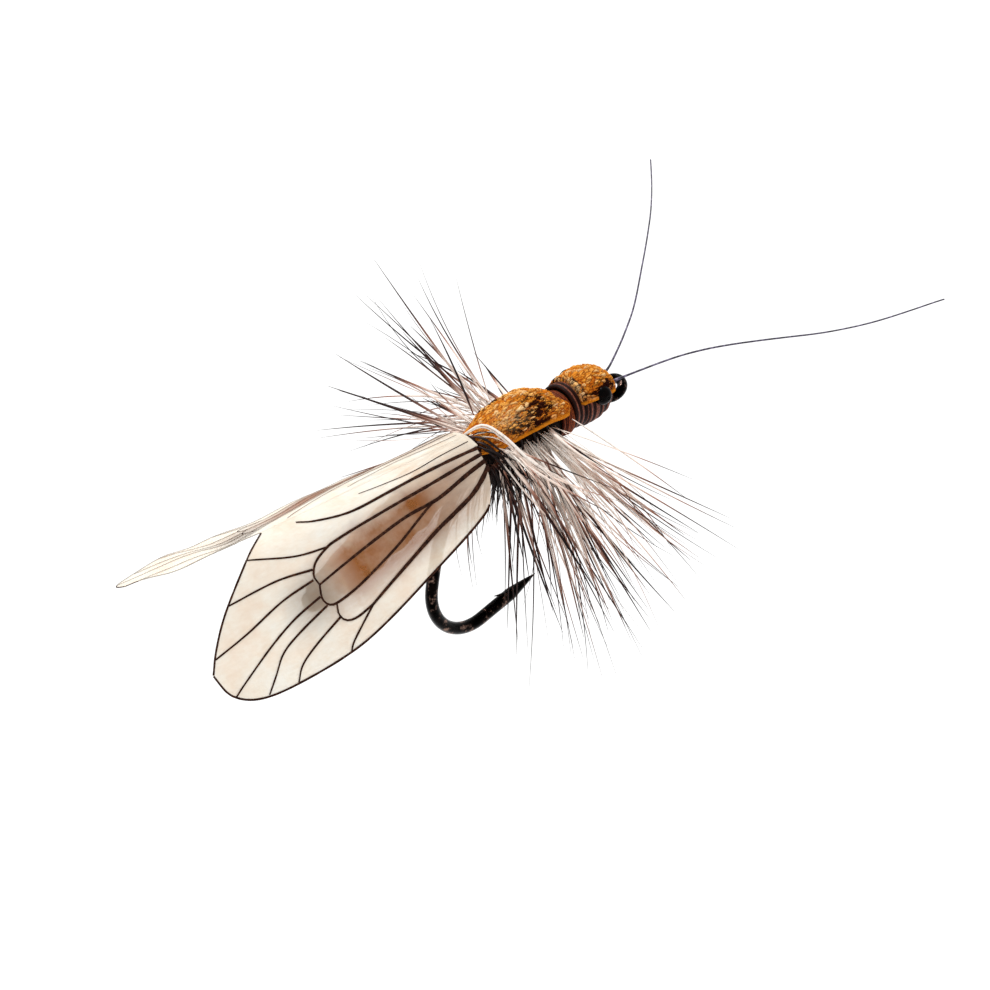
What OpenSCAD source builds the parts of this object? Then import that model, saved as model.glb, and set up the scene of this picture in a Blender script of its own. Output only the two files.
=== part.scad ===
// Adult caddis dry fly, tied on a short-shank hook with an up-turned ring eye.
// Millimetres. Origin: the centre of the ring eye. +X runs forward past the head,
// +Y is the fly's left and +Z is up. The shank lies along X.

/* [Hook] */
// Diameter of the hook wire
wire_d = 0.52; // [0.48:0.01:0.54]
// Diameter of the wire where it is drawn down for the ring eye
eye_wire_d = 0.42; // [0.38:0.01:0.44]
// Radius of the hole through the ring eye
eye_hole_r = 0.28; // [0.26:0.01:0.3]
// Angle that the ring eye is turned up from the shank
eye_tilt = 30; // [25:1:35]
// Straight shank, from the ring centre back to the start of the bend
shank_len = 5.76; // [5.6:0.02:5.9]
// Straight part of the spear, from the bend to the start of the point
spear_len = 1.7; // [1.5:0.1:1.9]
// Length of the tapered point
point_len = 1.4; // [1.2:0.1:1.6]
// Length of the barb that is cut up from the spear
barb_len = 1; // [0.8:0.1:1.2]

/* [Head and thorax] */
// Front face of the head
head_x = -0.44; // [-0.48:0.01:-0.44]
// Length of the head, back to the waist
head_len = 2.5; // [2.4:0.05:2.5]
// Height of the head's middle over the ring centre
head_z = 0.12; // [0.1:0.01:0.15]
// Front end of the thorax cover
thorax_x = -3.4; // [-3.5:0.01:-3.38]
// Length of the thorax cover
thorax_len = 4.45; // [4.4:0.01:4.5]
// Height of the thorax's middle over the ring centre
thorax_z = -0.15; // [-0.18:0.01:-0.12]
// Thickness of the foam that covers the head and the thorax
cover_t = 0.34; // [0.3:0.01:0.36]
// Half of the arc that the thorax cover wraps round the body
cover_half_deg = 73; // [65:1:80]
// Diameter of the bead eyes
bead_d = 0.8; // [0.7:0.01:0.84]
// Sideways distance of each bead from the middle plane
bead_y = 0.97; // [0.95:0.01:1]

/* [Wings] */
// Length of the film from its root to its rear corners
wing_len = 17.15; // [16.5:0.05:17.5]
// The same on the left, where the film is folded a little askew
left_wing_len = 16; // [15.5:0.05:16.5]
// Half width of the unfolded film
wing_w = 6.25; // [5.9:0.05:6.4]
// Thickness of the film
film_t = 0.12; // [0.1:0.01:0.14]
// Distance from the root back to the notch between the wings
notch_s = 11.6; // [11:0.1:12]
// Slope of the right wing from the horizontal
right_tilt = 47; // [42:1:50]
// Slope of the left wing from the horizontal
left_tilt = 35; // [30:1:42]

/* [Abdomen] */
// Length of the segmented abdomen
abdomen_len = 9.2; // [8.8:0.1:9.6]
// Largest radius of the abdomen
abdomen_r = 0.95; // [0.85:0.01:0.98]
// Number of foam segments
segments = 7; // [6:1:8]
// Droop of the abdomen from the horizontal
abdomen_droop = 22.5; // [21:0.5:24]

/* [Hackle] */
// Turns of the feather's quill round the thorax
hackle_turns = 5; // [3:1:5]
// Long barbs on each side of each turn
barbs_per_turn = 5; // [3:1:6]
// Length of the longest barbs
barb_reach = 8.2; // [7:0.1:8.6]
// Length of the trimmed barbs below the thorax
trimmed_reach = 1.1; // [0.8:0.05:1.15]
// Diameter of a barb at its root
barb_d = 0.12; // [0.1:0.01:0.14]

/* [Antennae] */
// Diameter of an antenna at its root
antenna_d = 0.21; // [0.2:0.01:0.22]
// Diameter of an antenna at its tip
antenna_tip_d = 0.1; // [0.1:0.01:0.12]

/* [Hidden] */
$fn = 48;

skin = 0.02;            // gap between one layer of the dressing and the next
thread_d = 0.2;         // pitch of the tying thread's turns
thread_h = 0.05;        // height of a turn of thread over the layer below

// Hook
wire_r = wire_d / 2;
eye_wire_r = eye_wire_d / 2;
eye_ring_r = eye_hole_r + eye_wire_r - 0.03;
eye_land = 0.22;        // width of the flat land inside the ring
shank_z = -eye_ring_r * sin(eye_tilt);
neck_x = -eye_ring_r * cos(eye_tilt);
neck_len = 0.6;         // stretch over which the wire tapers to the eye
joint_gap = 0.04;       // space between two lengths of wire inside the ball that joins them
joint_swell = 0.015;
// Each bend arc is [radius, degrees turned], starting at the end of the shank
bend = [[3.6, 70], [14.3, 12], [2.1, 115.5]];
point_r = 0.03;

// Head and thorax
head_thread_r = 0.79;
head_grow = 0.12;       // how much the head thread swells towards the waist
head_half_deg = 92;
flap_half_deg = 28;
bead_x = -1.42;
bead_z = 0.56;
bar_r = 0.11;
waist_len = 0.42;
quill_r = 0.07;
core_gap = 2 * quill_r + skin;

// Wings
wing_x = -7.6;
wing_z = 0.66;
wing_pitch = 1.6;       // fall of the ridge towards the rear
ridge_r = 1.6;          // radius of the rounded ridge
crease_t = 1;           // distance of the crease from the ridge line, along the film
crease_gap = 0.08;
ridge_s0 = 0.36;        // where the free film begins behind the tie-in
leaf_s0 = 0.55;
corner_r = 1.7;         // radius of the rear corner
root_half_w = 2.3;      // half width of the film at its root

// Abdomen
abdomen_x = -7.92;
abdomen_z = -0.15;
mono_r = 0.13;

// Antennae: the left one's route from the head to its tip
antenna_route = [
    [-0.33, 0.3, 0.46], [0, 0.38, 0.54], [0.4, 0.52, 0.63], [1, 0.82, 0.81],
    [1.7, 1.2, 1.03], [2.4, 1.62, 1.24], [3.2, 2.15, 1.42], [4, 2.76, 1.56],
    [4.9, 3.5, 1.69], [5.8, 4.25, 1.82], [6.7, 5, 1.97], [7.6, 5.77, 2.2],
    [8.5, 6.58, 2.5], [9.4, 7.5, 2.94], [10.3, 8.52, 3.5]
];
antenna_sides = 12;

// Outer radius of the head cover and of the thorax cover, u running from 0 in front to 1
function head_r(u) = 0.76 + 0.32 * u + 0.4 * sin(180 * pow(u, 0.7));
function thorax_r(u) = 1.22 - 0.5 * u + 0.6 * sin(180 * pow(u, 0.85));
function head_wrap_r(u) = head_thread_r + head_grow * u;
function thorax_cover_t(u) = cover_t - 0.18 * pow(u, 3);
function core_r(u) = thorax_r(u) - thorax_cover_t(u) - core_gap;

// Lays a shape that stands on Z back along the body, from [x, z] towards the rear
module back_from(x, z) translate([x, 0, z]) rotate([0, -90, 0]) children();

// A length of thread wraps: a tapering sleeve with a ribbed outside, each end's radii in turn
module ribbed_sleeve(len, inner, outer) {
    turns = round(len / thread_d);
    rib = [
        for (i = [0 : turns - 1]) for (q = [0 : 3])
            let (v = (i + q / 4) / turns)
            [outer[0] + (outer[1] - outer[0]) * v + thread_h * sin(45 * q), v * len]
    ];
    rotate_extrude()
        polygon(concat([[inner[0], 0]], rib, [[outer[1], len], [inner[1], len]]));
}

// The hook wire from the ring to the point, grown by clear all round
module hook_wire(clear = 0) {
    r = wire_r + clear;
    eye_r = eye_wire_r + clear;
    shank = shank_len + neck_x;
    rotate([0, -eye_tilt, 0])
        rotate_extrude() translate([eye_ring_r, 0]) circle(eye_r, $fn = 32);
    back_from(neck_x, shank_z) rotate_extrude()
        polygon([[0, -0.08], [eye_r, -0.08], [eye_r, 0.1], [r, neck_len],
                 [r, shank - joint_gap], [0, shank - joint_gap]]);
    translate([-shank_len, 0, shank_z]) bend_from(0, r);
}

// Follows the bend arcs one after another, then the spear and the point. The lengths of
// wire meet in balls a little thicker than the wire.
module bend_from(i, r) {
    sphere(r + joint_swell);
    if (i < len(bend)) {
        arc_r = bend[i][0];
        turn = bend[i][1];
        short = joint_gap / arc_r * 180 / PI;
        translate([0, 0, -arc_r]) rotate([90, 0, 0]) rotate([0, 0, 90 + short])
            rotate_extrude(angle = turn - 2 * short)
                translate([arc_r, 0]) circle(r, $fn = 32);
        translate([0, 0, -arc_r]) rotate([0, -turn, 0]) translate([0, 0, arc_r])
            bend_from(i + 1, r);
    } else {
        back_from(0, 0) rotate_extrude()
            polygon([[0, joint_gap], [r, joint_gap], [r, spear_len],
                     [point_r, spear_len + point_len], [0, spear_len + point_len]]);
        translate([-spear_len + 0.2, 0, -r]) hook_barb();
    }
}

// The barb: a thin tongue cut up from the inside of the spear
module hook_barb()
    rotate([90, 0, 0]) translate([0, 0, -0.08]) linear_extrude(0.16)
        polygon([[-0.1, 0.14], [0.3, 0.16], [barb_len, -0.26], [0.25, -0.04]]);

module hook()
    color([0.09, 0.08, 0.08]) difference() {
        hook_wire();
        rotate([0, -eye_tilt, 0]) cylinder(h = eye_land + 1, r = eye_hole_r, center = true);
    }

module shank_thread()
    color([0.2, 0.12, 0.08]) back_from(-3.1, shank_z)
        ribbed_sleeve(shank_len - 3.1, wire_r * [1, 1] + [0.01, 0.01], wire_r * [1, 1] + [0.08, 0.08]);

// Head
module bead_sockets(r)
    for (side = [-1, 1]) translate([bead_x, side * bead_y, bead_z]) sphere(r);

module bar_bore(r)
    translate([bead_x, 0, bead_z]) rotate([90, 0, 0])
        cylinder(h = 2 * bead_y, r = r, center = true);

module head_core()
    color([0.25, 0.14, 0.08]) difference() {
        back_from(head_x - 0.3, head_z)
            cylinder(h = head_len - 0.32, r1 = head_thread_r - 0.17, r2 = head_thread_r - skin);
        hook_wire(0.01);
        bar_bore(bar_r + 0.01);
        bead_sockets(bead_d / 2 + skin);
    }

module head_thread()
    color([0.17, 0.09, 0.07]) difference() {
        back_from(head_x - 0.3, head_z)
            ribbed_sleeve(head_len - 0.32, head_thread_r * [1, 1] - [0.15, 0],
                          head_thread_r * [1, 1] + [0, head_grow]);
        bar_bore(bar_r + 0.01);
        bead_sockets(bead_d / 2 + skin);
    }

module whip_finish()
    color([0.12, 0.07, 0.06]) difference() {
        back_from(head_x, head_z) ribbed_sleeve(0.28, [0.01, 0.01], [0.6, 0.72]);
        hook_wire(0.01);
    }

module head_cement()
    color([0.35, 0.2, 0.12]) difference() {
        back_from(head_x + 0.08, head_z) cylinder(h = 0.07, r1 = 0.5, r2 = 0.57);
        hook_wire(0.01);
        translate([-2, -2, -4 + head_z]) cube(4);
    }

// A foam strip wrapped over the top of the body, between two profiles given as [r, s]
module foam_strip(half_deg, outer, inner)
    rotate([0, 0, -half_deg]) rotate_extrude(angle = 2 * half_deg)
        polygon(concat(outer, [for (i = [len(inner) - 1 : -1 : 0]) inner[i]]));

module head_cover() {
    steps = 12;
    outer = [for (i = [1 : steps]) [head_r(i / steps), (i / steps) * (head_len - 0.04)]];
    inner = [for (v = [1, steps]) [head_wrap_r(v / steps) + thread_h + skin,
                                   (v / steps) * (head_len - 0.04)]];
    flap_outer = [[0.54, -0.32], [0.65, -0.2], [0.84, 0], [head_r(2 / steps) + 0.015, 0.41]];
    flap_inner = [[0.48, -0.29], [0.54, -0.2], [0.68, 0], [0.91, 0.41]];
    color([0.76, 0.45, 0.16]) difference() {
        back_from(head_x, head_z) {
            foam_strip(head_half_deg, outer, inner);
            foam_strip(flap_half_deg, flap_outer, flap_inner);
        }
        bead_sockets(bead_d / 2 + skin);
    }
}

module eye_bar()
    color([0.1, 0.09, 0.08]) difference() {
        bar_bore(bar_r);
        bead_sockets(bead_d / 2 + 0.005);
    }

module bead(side)
    color([0.03, 0.03, 0.03]) translate([bead_x, side * bead_y, bead_z]) sphere(bead_d / 2);

module right_eye() bead(-1);
module left_eye() bead(1);

// Antennae: a tapering tube swept along the route, side 1 for the left and -1 for the right
function unit(v) = v / norm(v);
function route_dir(i) =
    let (last = len(antenna_route) - 1)
    unit(antenna_route[min(i + 1, last)] - antenna_route[max(i - 1, 0)]);
function route_r(i) =
    let (v = i / (len(antenna_route) - 1))
    (antenna_d * (1 - v) + antenna_tip_d * v) / 2;
function ring_at(i) =
    let (d = route_dir(i), e = unit(cross(d, [0, 0, 1])), f = cross(e, d), r = route_r(i))
    [for (k = [0 : antenna_sides - 1])
        let (a = 360 * k / antenna_sides)
        antenna_route[i] + r * cos(a) * e + r * sin(a) * f];

module antenna() {
    n = antenna_sides;
    rings = len(antenna_route);
    points = [for (i = [0 : rings - 1]) each ring_at(i)];
    front = [[for (k = [0 : n - 1]) k]];
    back = [[for (k = [n - 1 : -1 : 0]) (rings - 1) * n + k]];
    sides = [
        for (i = [0 : rings - 2]) for (k = [0 : n - 1])
            let (m = (k + 1) % n)
            each [
                [i * n + k, (i + 1) * n + k, (i + 1) * n + m],
                [i * n + k, (i + 1) * n + m, i * n + m]
            ]
    ];
    polyhedron(points, concat(front, sides, back));
}

module left_antenna() color([0.16, 0.13, 0.2]) antenna();
module right_antenna() color([0.16, 0.13, 0.2]) mirror([0, 1, 0]) antenna();

// Waist and thorax
module waist_thread()
    color([0.12, 0.07, 0.05])
        back_from(thorax_x + waist_len, thorax_z + 0.08)
            ribbed_sleeve(waist_len - skin, [0.82, 0.82], [0.93, 0.98]);

module thorax_core() {
    steps = 12;
    end_u = 0.93;
    profile = [for (i = [0 : steps])
        let (u = end_u * i / steps) [core_r(u), u * thorax_len]];
    color([0.16, 0.11, 0.09]) difference() {
        back_from(thorax_x, thorax_z) rotate_extrude()
            polygon(concat([[0, -waist_len]], [[core_r(0), -waist_len]], profile,
                           [[0, end_u * thorax_len]]));
        hook_wire(0.01);
        back_from(-3.1, shank_z) cylinder(h = shank_len - 3.1, r = wire_r + 0.15);
        stub_at(mono_r + 0.01);
    }
}

module thorax_cover() {
    steps = 14;
    outer = [for (i = [0 : steps]) [thorax_r(i / steps), (i / steps) * thorax_len]];
    inner = [for (i = [0 : 2 : steps]) let (u = i / steps)
        [thorax_r(u) - thorax_cover_t(u), u * thorax_len]];
    color([0.78, 0.46, 0.16])
        back_from(thorax_x, thorax_z) foam_strip(cover_half_deg, outer, inner);
}

// Hackle: quill turns and the barbs that stand out of them
function turn_s(i) = 0.7 + 2.9 * i / (hackle_turns - 1);
function turn_u(i) = turn_s(i) / thorax_len;

module hackle_quill()
    color([0.75, 0.68, 0.55]) back_from(thorax_x, thorax_z)
        for (i = [0 : hackle_turns - 1])
            translate([0, 0, turn_s(i)]) rotate_extrude()
                translate([core_r(turn_u(i)) + quill_r + 0.01, 0]) circle(quill_r, $fn = 24);

// One barb from turn i, elev degrees over the horizontal and leaning forward by lean degrees
module barb(i, elev, lean, reach) {
    root = core_r(turn_u(i)) + 2 * quill_r;
    translate([thorax_x - turn_s(i), 0, thorax_z]) rotate([elev, 0, 0])
        translate([0, root, 0]) rotate([0, 0, -lean]) rotate([-90, 0, 0])
            cylinder(h = reach, r1 = barb_d / 2, r2 = barb_d / 8, $fn = 16);
}

module barbs(side)
    color([0.72, 0.66, 0.58]) mirror([0, side < 0 ? 1 : 0, 0])
        for (i = [0 : hackle_turns - 1]) for (j = [0 : barbs_per_turn - 1]) {
            fan = i / (hackle_turns - 1);
            elev = 14 - 52 * j / (barbs_per_turn - 1);
            wander = (j % 2 == 0) ? 7 : -7;
            barb(i, elev, 30 - 58 * fan + wander, barb_reach * (1 - 0.06 * (j % 3)));
        }

module right_hackle() barbs(-1);
module left_hackle() barbs(1);

module trimmed_hackle()
    color([0.2, 0.15, 0.12])
        for (i = [0 : hackle_turns - 1]) for (elev = [-112 : 22 : -68])
            barb(i, elev, 0, trimmed_reach);

module stray_hackle()
    color([0.82, 0.76, 0.68])
        for (k = [0 : 2]) back_from(thorax_x - 2.5 - 0.5 * k, thorax_z)
            translate([0.34 - 0.03 * k, 0, 0]) rotate([0, 8 * (k - 1), 25 * (k - 1)])
                rotate([0, 0, -115]) rotate_extrude(angle = 230)
                    translate([1.42 - 0.12 * k, 0]) circle(barb_d / 2, $fn = 16);

// Wings: the film's outline, s back from the root and t outward from the ridge line
function margin_t(s) = root_half_w + (wing_w - root_half_w) * (1 - pow(1 - s / 14, 2));

module film_outline(len) {
    corner = [len - corner_r, wing_w - corner_r];
    margin = [for (s = [0 : 1 : len - corner_r - 1]) [s, margin_t(min(s, 14))]];
    rear = [for (a = [90 : -13 : -40]) corner + corner_r * [cos(a), sin(a)]];
    polygon(concat([[0, 0]], margin, rear, [[notch_s, 0]]));
}

module on_roof() translate([wing_x, 0, wing_z]) rotate([0, -wing_pitch, 0]) children();

module wing_ridge() {
    half = crease_t / ridge_r * 180 / PI;
    color([0.95, 0.9, 0.82]) on_roof() difference() {
        translate([-ridge_s0, 0, -ridge_r]) rotate([0, -90, 0])
            rotate([0, 0, -half]) rotate_extrude(angle = 2 * half)
                translate([ridge_r - film_t, 0]) square([film_t, notch_s + 1.2]);
        translate([-notch_s, 0, -2]) linear_extrude(3)
            polygon([[0, 0], [-3, 1.9], [-3, -1.9]]);
    }
}

// The left leaf, hinged at the crease and sloping down by tilt degrees
module leaf(tilt, len) {
    half = crease_t / ridge_r * 180 / PI;
    crease_y = (ridge_r - film_t / 2) * sin(half);
    crease_z = (ridge_r - film_t / 2) * cos(half) - ridge_r;
    on_roof() translate([0, crease_y, crease_z]) rotate([-tilt, 0, 0])
        translate([0, -crease_t, -film_t / 2]) mirror([1, 0, 0]) linear_extrude(film_t)
            intersection() {
                film_outline(len);
                translate([leaf_s0, crease_t + crease_gap])
                    square([wing_len, wing_w]);
            }
}

module left_wing() color([0.9, 0.84, 0.75]) leaf(left_tilt, left_wing_len);
module right_wing() color([0.9, 0.84, 0.75]) mirror([0, 1, 0]) leaf(right_tilt, wing_len);

// The film's tab, bound down between the core and the end of the cover
module wing_root() {
    a = 0.84;
    color([0.93, 0.88, 0.8]) back_from(thorax_x, thorax_z)
        foam_strip(35,
                   [[core_r(a) + 0.07, a * thorax_len], [0.53, thorax_len],
                    [0.72, 1.015 * thorax_len]],
                   [[core_r(a) + 0.01, a * thorax_len], [0.47, thorax_len],
                    [0.66, 1.015 * thorax_len]]);
}

// Three turns of thread over the tab
module wing_thread()
    color([0.1, 0.06, 0.05]) back_from(thorax_x, thorax_z)
        for (u = [0.86 : 0.035 : 0.93])
            translate([0, 0, u * thorax_len]) rotate([0, 0, -60]) rotate_extrude(angle = 120)
                translate([core_r(u) + 0.115, 0]) circle(0.04, $fn = 24);

// Abdomen: everything is laid along its drooping axis
module down_abdomen()
    translate([abdomen_x, 0, abdomen_z]) rotate([0, -90 - abdomen_droop, 0]) children();

function abdomen_env(u) = abdomen_r * (0.3 + 0.7 * pow(sin(90 * min(1, u / 0.24)), 1.2))
    * (1 - 0.42 * pow(max(0, (u - 0.5) / 0.5), 2));
function abdomen_at(s) =
    let (u = s / abdomen_len, v = u * segments - floor(u * segments))
    abdomen_env(u) * (0.88 + 0.12 * pow(sin(180 * v), 0.6));

module stub_at(r)
    translate([abdomen_x + 0.06, 0, abdomen_z]) rotate([0, 90, 0]) cylinder(h = 0.5, r = r);

module abdomen_stub() color([0.85, 0.83, 0.8]) stub_at(mono_r);

module tail_thread()
    color([0.12, 0.07, 0.05]) back_from(abdomen_x + 0.36, abdomen_z)
        ribbed_sleeve(0.28, [mono_r, mono_r] + [0.01, 0.01], [0.17, 0.19]);

module abdomen_core()
    color([0.85, 0.83, 0.8]) down_abdomen()
        translate([0, 0, 0.06]) cylinder(h = abdomen_len - 0.4, r = mono_r);

module abdomen_foam() {
    steps = 6 * segments;
    profile = [for (i = [1 : steps]) let (s = i * abdomen_len / steps)
        [abdomen_at(min(s, abdomen_len - 0.001)), s]];
    color([0.6, 0.45, 0.3]) down_abdomen() rotate_extrude()
        polygon(concat([[mono_r + 0.01, profile[0][1]]], profile,
                       [[mono_r + 0.01, abdomen_len]]));
}

module abdomen_ribbing()
    color([0.85, 0.78, 0.66]) down_abdomen()
        for (k = [1 : segments - 1])
            translate([0, 0, k * abdomen_len / segments]) rotate_extrude()
                translate([abdomen_env(k / segments) * 0.88 + 0.06, 0])
                    circle(0.05, $fn = 24);

module abdomen_tip()
    color([0.12, 0.07, 0.05]) down_abdomen() translate([0, 0, abdomen_len + 0.01])
        cylinder(h = 0.45, r1 = 0.45, r2 = 0.15);

hook();
shank_thread();
head_core();
head_thread();
whip_finish();
head_cement();
head_cover();
eye_bar();
right_eye();
left_eye();
right_antenna();
left_antenna();
waist_thread();
thorax_core();
thorax_cover();
hackle_quill();
right_hackle();
left_hackle();
trimmed_hackle();
stray_hackle();
wing_root();
wing_thread();
wing_ridge();
right_wing();
left_wing();
abdomen_stub();
tail_thread();
abdomen_core();
abdomen_foam();
abdomen_ribbing();
abdomen_tip();
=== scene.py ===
"""The looks of an adult caddis dry fly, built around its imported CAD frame.

Lengths are in millimetres in the row frame (+X forward, +Y the fly's left, +Z up) and become
metres as each mesh is made.
"""

import math
import random

import bpy
import numpy as np
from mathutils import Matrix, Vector, noise


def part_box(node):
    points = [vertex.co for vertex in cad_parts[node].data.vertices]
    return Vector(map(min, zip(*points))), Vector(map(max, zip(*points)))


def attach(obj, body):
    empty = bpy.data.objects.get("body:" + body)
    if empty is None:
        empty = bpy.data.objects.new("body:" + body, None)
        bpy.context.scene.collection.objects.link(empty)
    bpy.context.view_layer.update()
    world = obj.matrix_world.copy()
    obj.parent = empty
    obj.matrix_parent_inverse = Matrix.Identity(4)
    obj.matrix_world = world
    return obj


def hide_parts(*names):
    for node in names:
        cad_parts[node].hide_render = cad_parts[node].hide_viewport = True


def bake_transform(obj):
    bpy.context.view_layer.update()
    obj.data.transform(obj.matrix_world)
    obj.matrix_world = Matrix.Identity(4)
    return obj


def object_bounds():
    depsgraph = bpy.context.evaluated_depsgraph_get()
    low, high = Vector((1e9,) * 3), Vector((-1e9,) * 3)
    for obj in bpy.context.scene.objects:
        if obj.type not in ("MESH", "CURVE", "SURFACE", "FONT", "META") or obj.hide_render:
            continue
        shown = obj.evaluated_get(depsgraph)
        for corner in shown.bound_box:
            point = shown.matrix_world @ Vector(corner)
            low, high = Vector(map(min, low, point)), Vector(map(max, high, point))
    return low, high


MM = 0.001
noise.seed_set(31)  # noise_vector would otherwise start from the clock and differ each run

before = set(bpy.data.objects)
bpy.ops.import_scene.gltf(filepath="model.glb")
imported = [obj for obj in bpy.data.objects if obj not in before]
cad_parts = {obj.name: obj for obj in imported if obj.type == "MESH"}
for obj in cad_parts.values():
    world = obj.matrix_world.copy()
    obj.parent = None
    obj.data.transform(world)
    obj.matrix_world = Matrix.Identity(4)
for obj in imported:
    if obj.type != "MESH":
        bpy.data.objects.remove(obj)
cad_low, cad_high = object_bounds()


# ---------------------------------------------------------------- camera, light and floor

def look(azimuth, elevation):
    """The direction from the object to a camera at these angles."""
    a, e = math.radians(azimuth), math.radians(elevation)
    return Vector((math.sin(a) * math.cos(e), -math.cos(a) * math.cos(e), math.sin(e)))


def make_camera():
    target = Vector((-4.73, 1.75, -3.79)) * MM
    distance = 1.2
    view_width = 39.6 * MM
    data = bpy.data.cameras.new("camera")
    camera = bpy.data.objects.new("camera", data)
    bpy.context.scene.collection.objects.link(camera)
    away = look(-43.5, 27.7)
    camera.location = target + away * distance
    camera.rotation_mode = "QUATERNION"
    camera.rotation_quaternion = (-away).to_track_quat("-Z", "Y")
    data.sensor_width = 36
    data.lens = data.sensor_width * distance / view_width
    data.clip_start = 0.01
    data.clip_end = 20
    bpy.context.scene.camera = camera


def make_studio():
    world = bpy.data.worlds.new("studio")
    bpy.context.scene.world = world
    world.use_nodes = True
    sky = world.node_tree.nodes["Background"]
    sky.inputs["Color"].default_value = (1, 1, 1, 1)
    sky.inputs["Strength"].default_value = 0.66
    bpy.context.scene.view_settings.view_transform = "Standard"

    data = bpy.data.lights.new("key", "SUN")
    data.energy = 2.2
    data.angle = math.radians(14)
    key = bpy.data.objects.new("key", data)
    bpy.context.scene.collection.objects.link(key)
    key.rotation_mode = "QUATERNION"
    key.rotation_quaternion = look(168, 62).to_track_quat("Z", "Y")

    bpy.ops.mesh.primitive_plane_add(size=12, location=(0, 0, cad_low.z - 60 * MM))
    floor = bpy.context.object
    floor.name = "floor"
    paper = bpy.data.materials.new("paper")
    paper.use_nodes = True
    paper_shader = paper.node_tree.nodes["Principled BSDF"]
    paper_shader.inputs["Base Color"].default_value = (0.93, 0.93, 0.93, 1)
    paper_shader.inputs["Roughness"].default_value = 0.9
    floor.data.materials.append(paper)


# ---------------------------------------------------------------- mesh helpers

class Build:
    """Vertices, faces and per-vertex numbers of one piece while it is made."""

    def __init__(self):
        self.points = []
        self.faces = []
        self.numbers = {}

    def add(self, points, faces, **numbers):
        start = len(self.points)
        self.points.extend(Vector(p) for p in points)
        self.faces.extend(tuple(start + i for i in face) for face in faces)
        for name in set(self.numbers) | set(numbers):
            kept = self.numbers.setdefault(name, [])
            kept.extend([0.0] * (start - len(kept)))
            value = numbers.get(name, 0.0)
            kept.extend(value if hasattr(value, "__len__") else [value] * len(points))

    def piece(self, name, material):
        mesh = bpy.data.meshes.new(name)
        mesh.from_pydata([p * MM for p in self.points], [], self.faces)
        for key, values in self.numbers.items():
            attribute = mesh.attributes.new(key, "FLOAT", "POINT")
            attribute.data.foreach_set("value", np.array(values, np.float32))
        mesh.polygons.foreach_set("use_smooth", [True] * len(mesh.polygons))
        mesh.materials.append(material)
        mesh.validate()
        mesh.update()
        obj = bpy.data.objects.new(name, mesh)
        bpy.context.scene.collection.objects.link(obj)
        return obj

    def fixed(self, name, material, body, slot, *nodes):
        """A piece that moves with body and stands for these CAD nodes."""
        obj = self.piece(name, material)
        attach(obj, body)
        if nodes:
            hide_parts(*nodes)


def skin(rings, sides, clockwise=True):
    """Faces over rings of points, and one over each end.

    Seen from in front of the last ring, looking back, the points of a ring run clockwise or not.
    """
    faces = []
    for start in range(0, (rings - 1) * sides, sides):
        for k in range(sides):
            m = (k + 1) % sides
            faces.append((start + k, start + sides + k, start + sides + m, start + m))
    faces.append(tuple(range(sides)))
    faces.append(tuple(range(rings * sides - 1, (rings - 1) * sides - 1, -1)))
    return faces if clockwise else [face[:1] + face[:0:-1] for face in faces]


def sheet(rows, columns):
    """Faces of a thin sheet: all points of its top, then all of its bottom, and a rim round both."""
    count = rows * columns
    faces = []
    for start in range(0, count - columns, columns):
        for a in range(start, start + columns - 1):
            b, c, d = a + 1, a + columns + 1, a + columns
            faces.append((a, b, c, d))
            faces.append((count + a, count + d, count + c, count + b))
    rim = list(range(columns)) + list(range(2 * columns - 1, count, columns))
    rim += list(range(count - 2, count - columns - 1, -1))
    rim += list(range(count - 2 * columns, 0, -columns))
    for a, b in zip(rim, rim[1:] + rim[:1]):
        faces.append((a, count + a, count + b, b))
    return faces


def spline(points, count):
    """count points along a smooth curve through points, evenly spread by length."""
    pts = [Vector(p) for p in points]
    ends = [pts[0] * 2 - pts[1]] + pts + [pts[-1] * 2 - pts[-2]]
    fine = []
    for i in range(1, len(ends) - 2):
        a, b, c, d = ends[i - 1:i + 3]
        for k in range(16):
            t = k / 16
            fine.append(0.5 * ((2 * b) + (c - a) * t + (2 * a - 5 * b + 4 * c - d) * t * t
                               + (3 * b - a - 3 * c + d) * t ** 3))
    fine.append(pts[-1])
    array = np.array([tuple(p) for p in fine])
    run = np.concatenate([[0], np.cumsum(np.linalg.norm(np.diff(array, axis=0), axis=1))])
    at = np.linspace(0, run[-1], count)
    return [Vector([np.interp(x, run, array[:, k]) for k in range(array.shape[1])]) for x in at]


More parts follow.
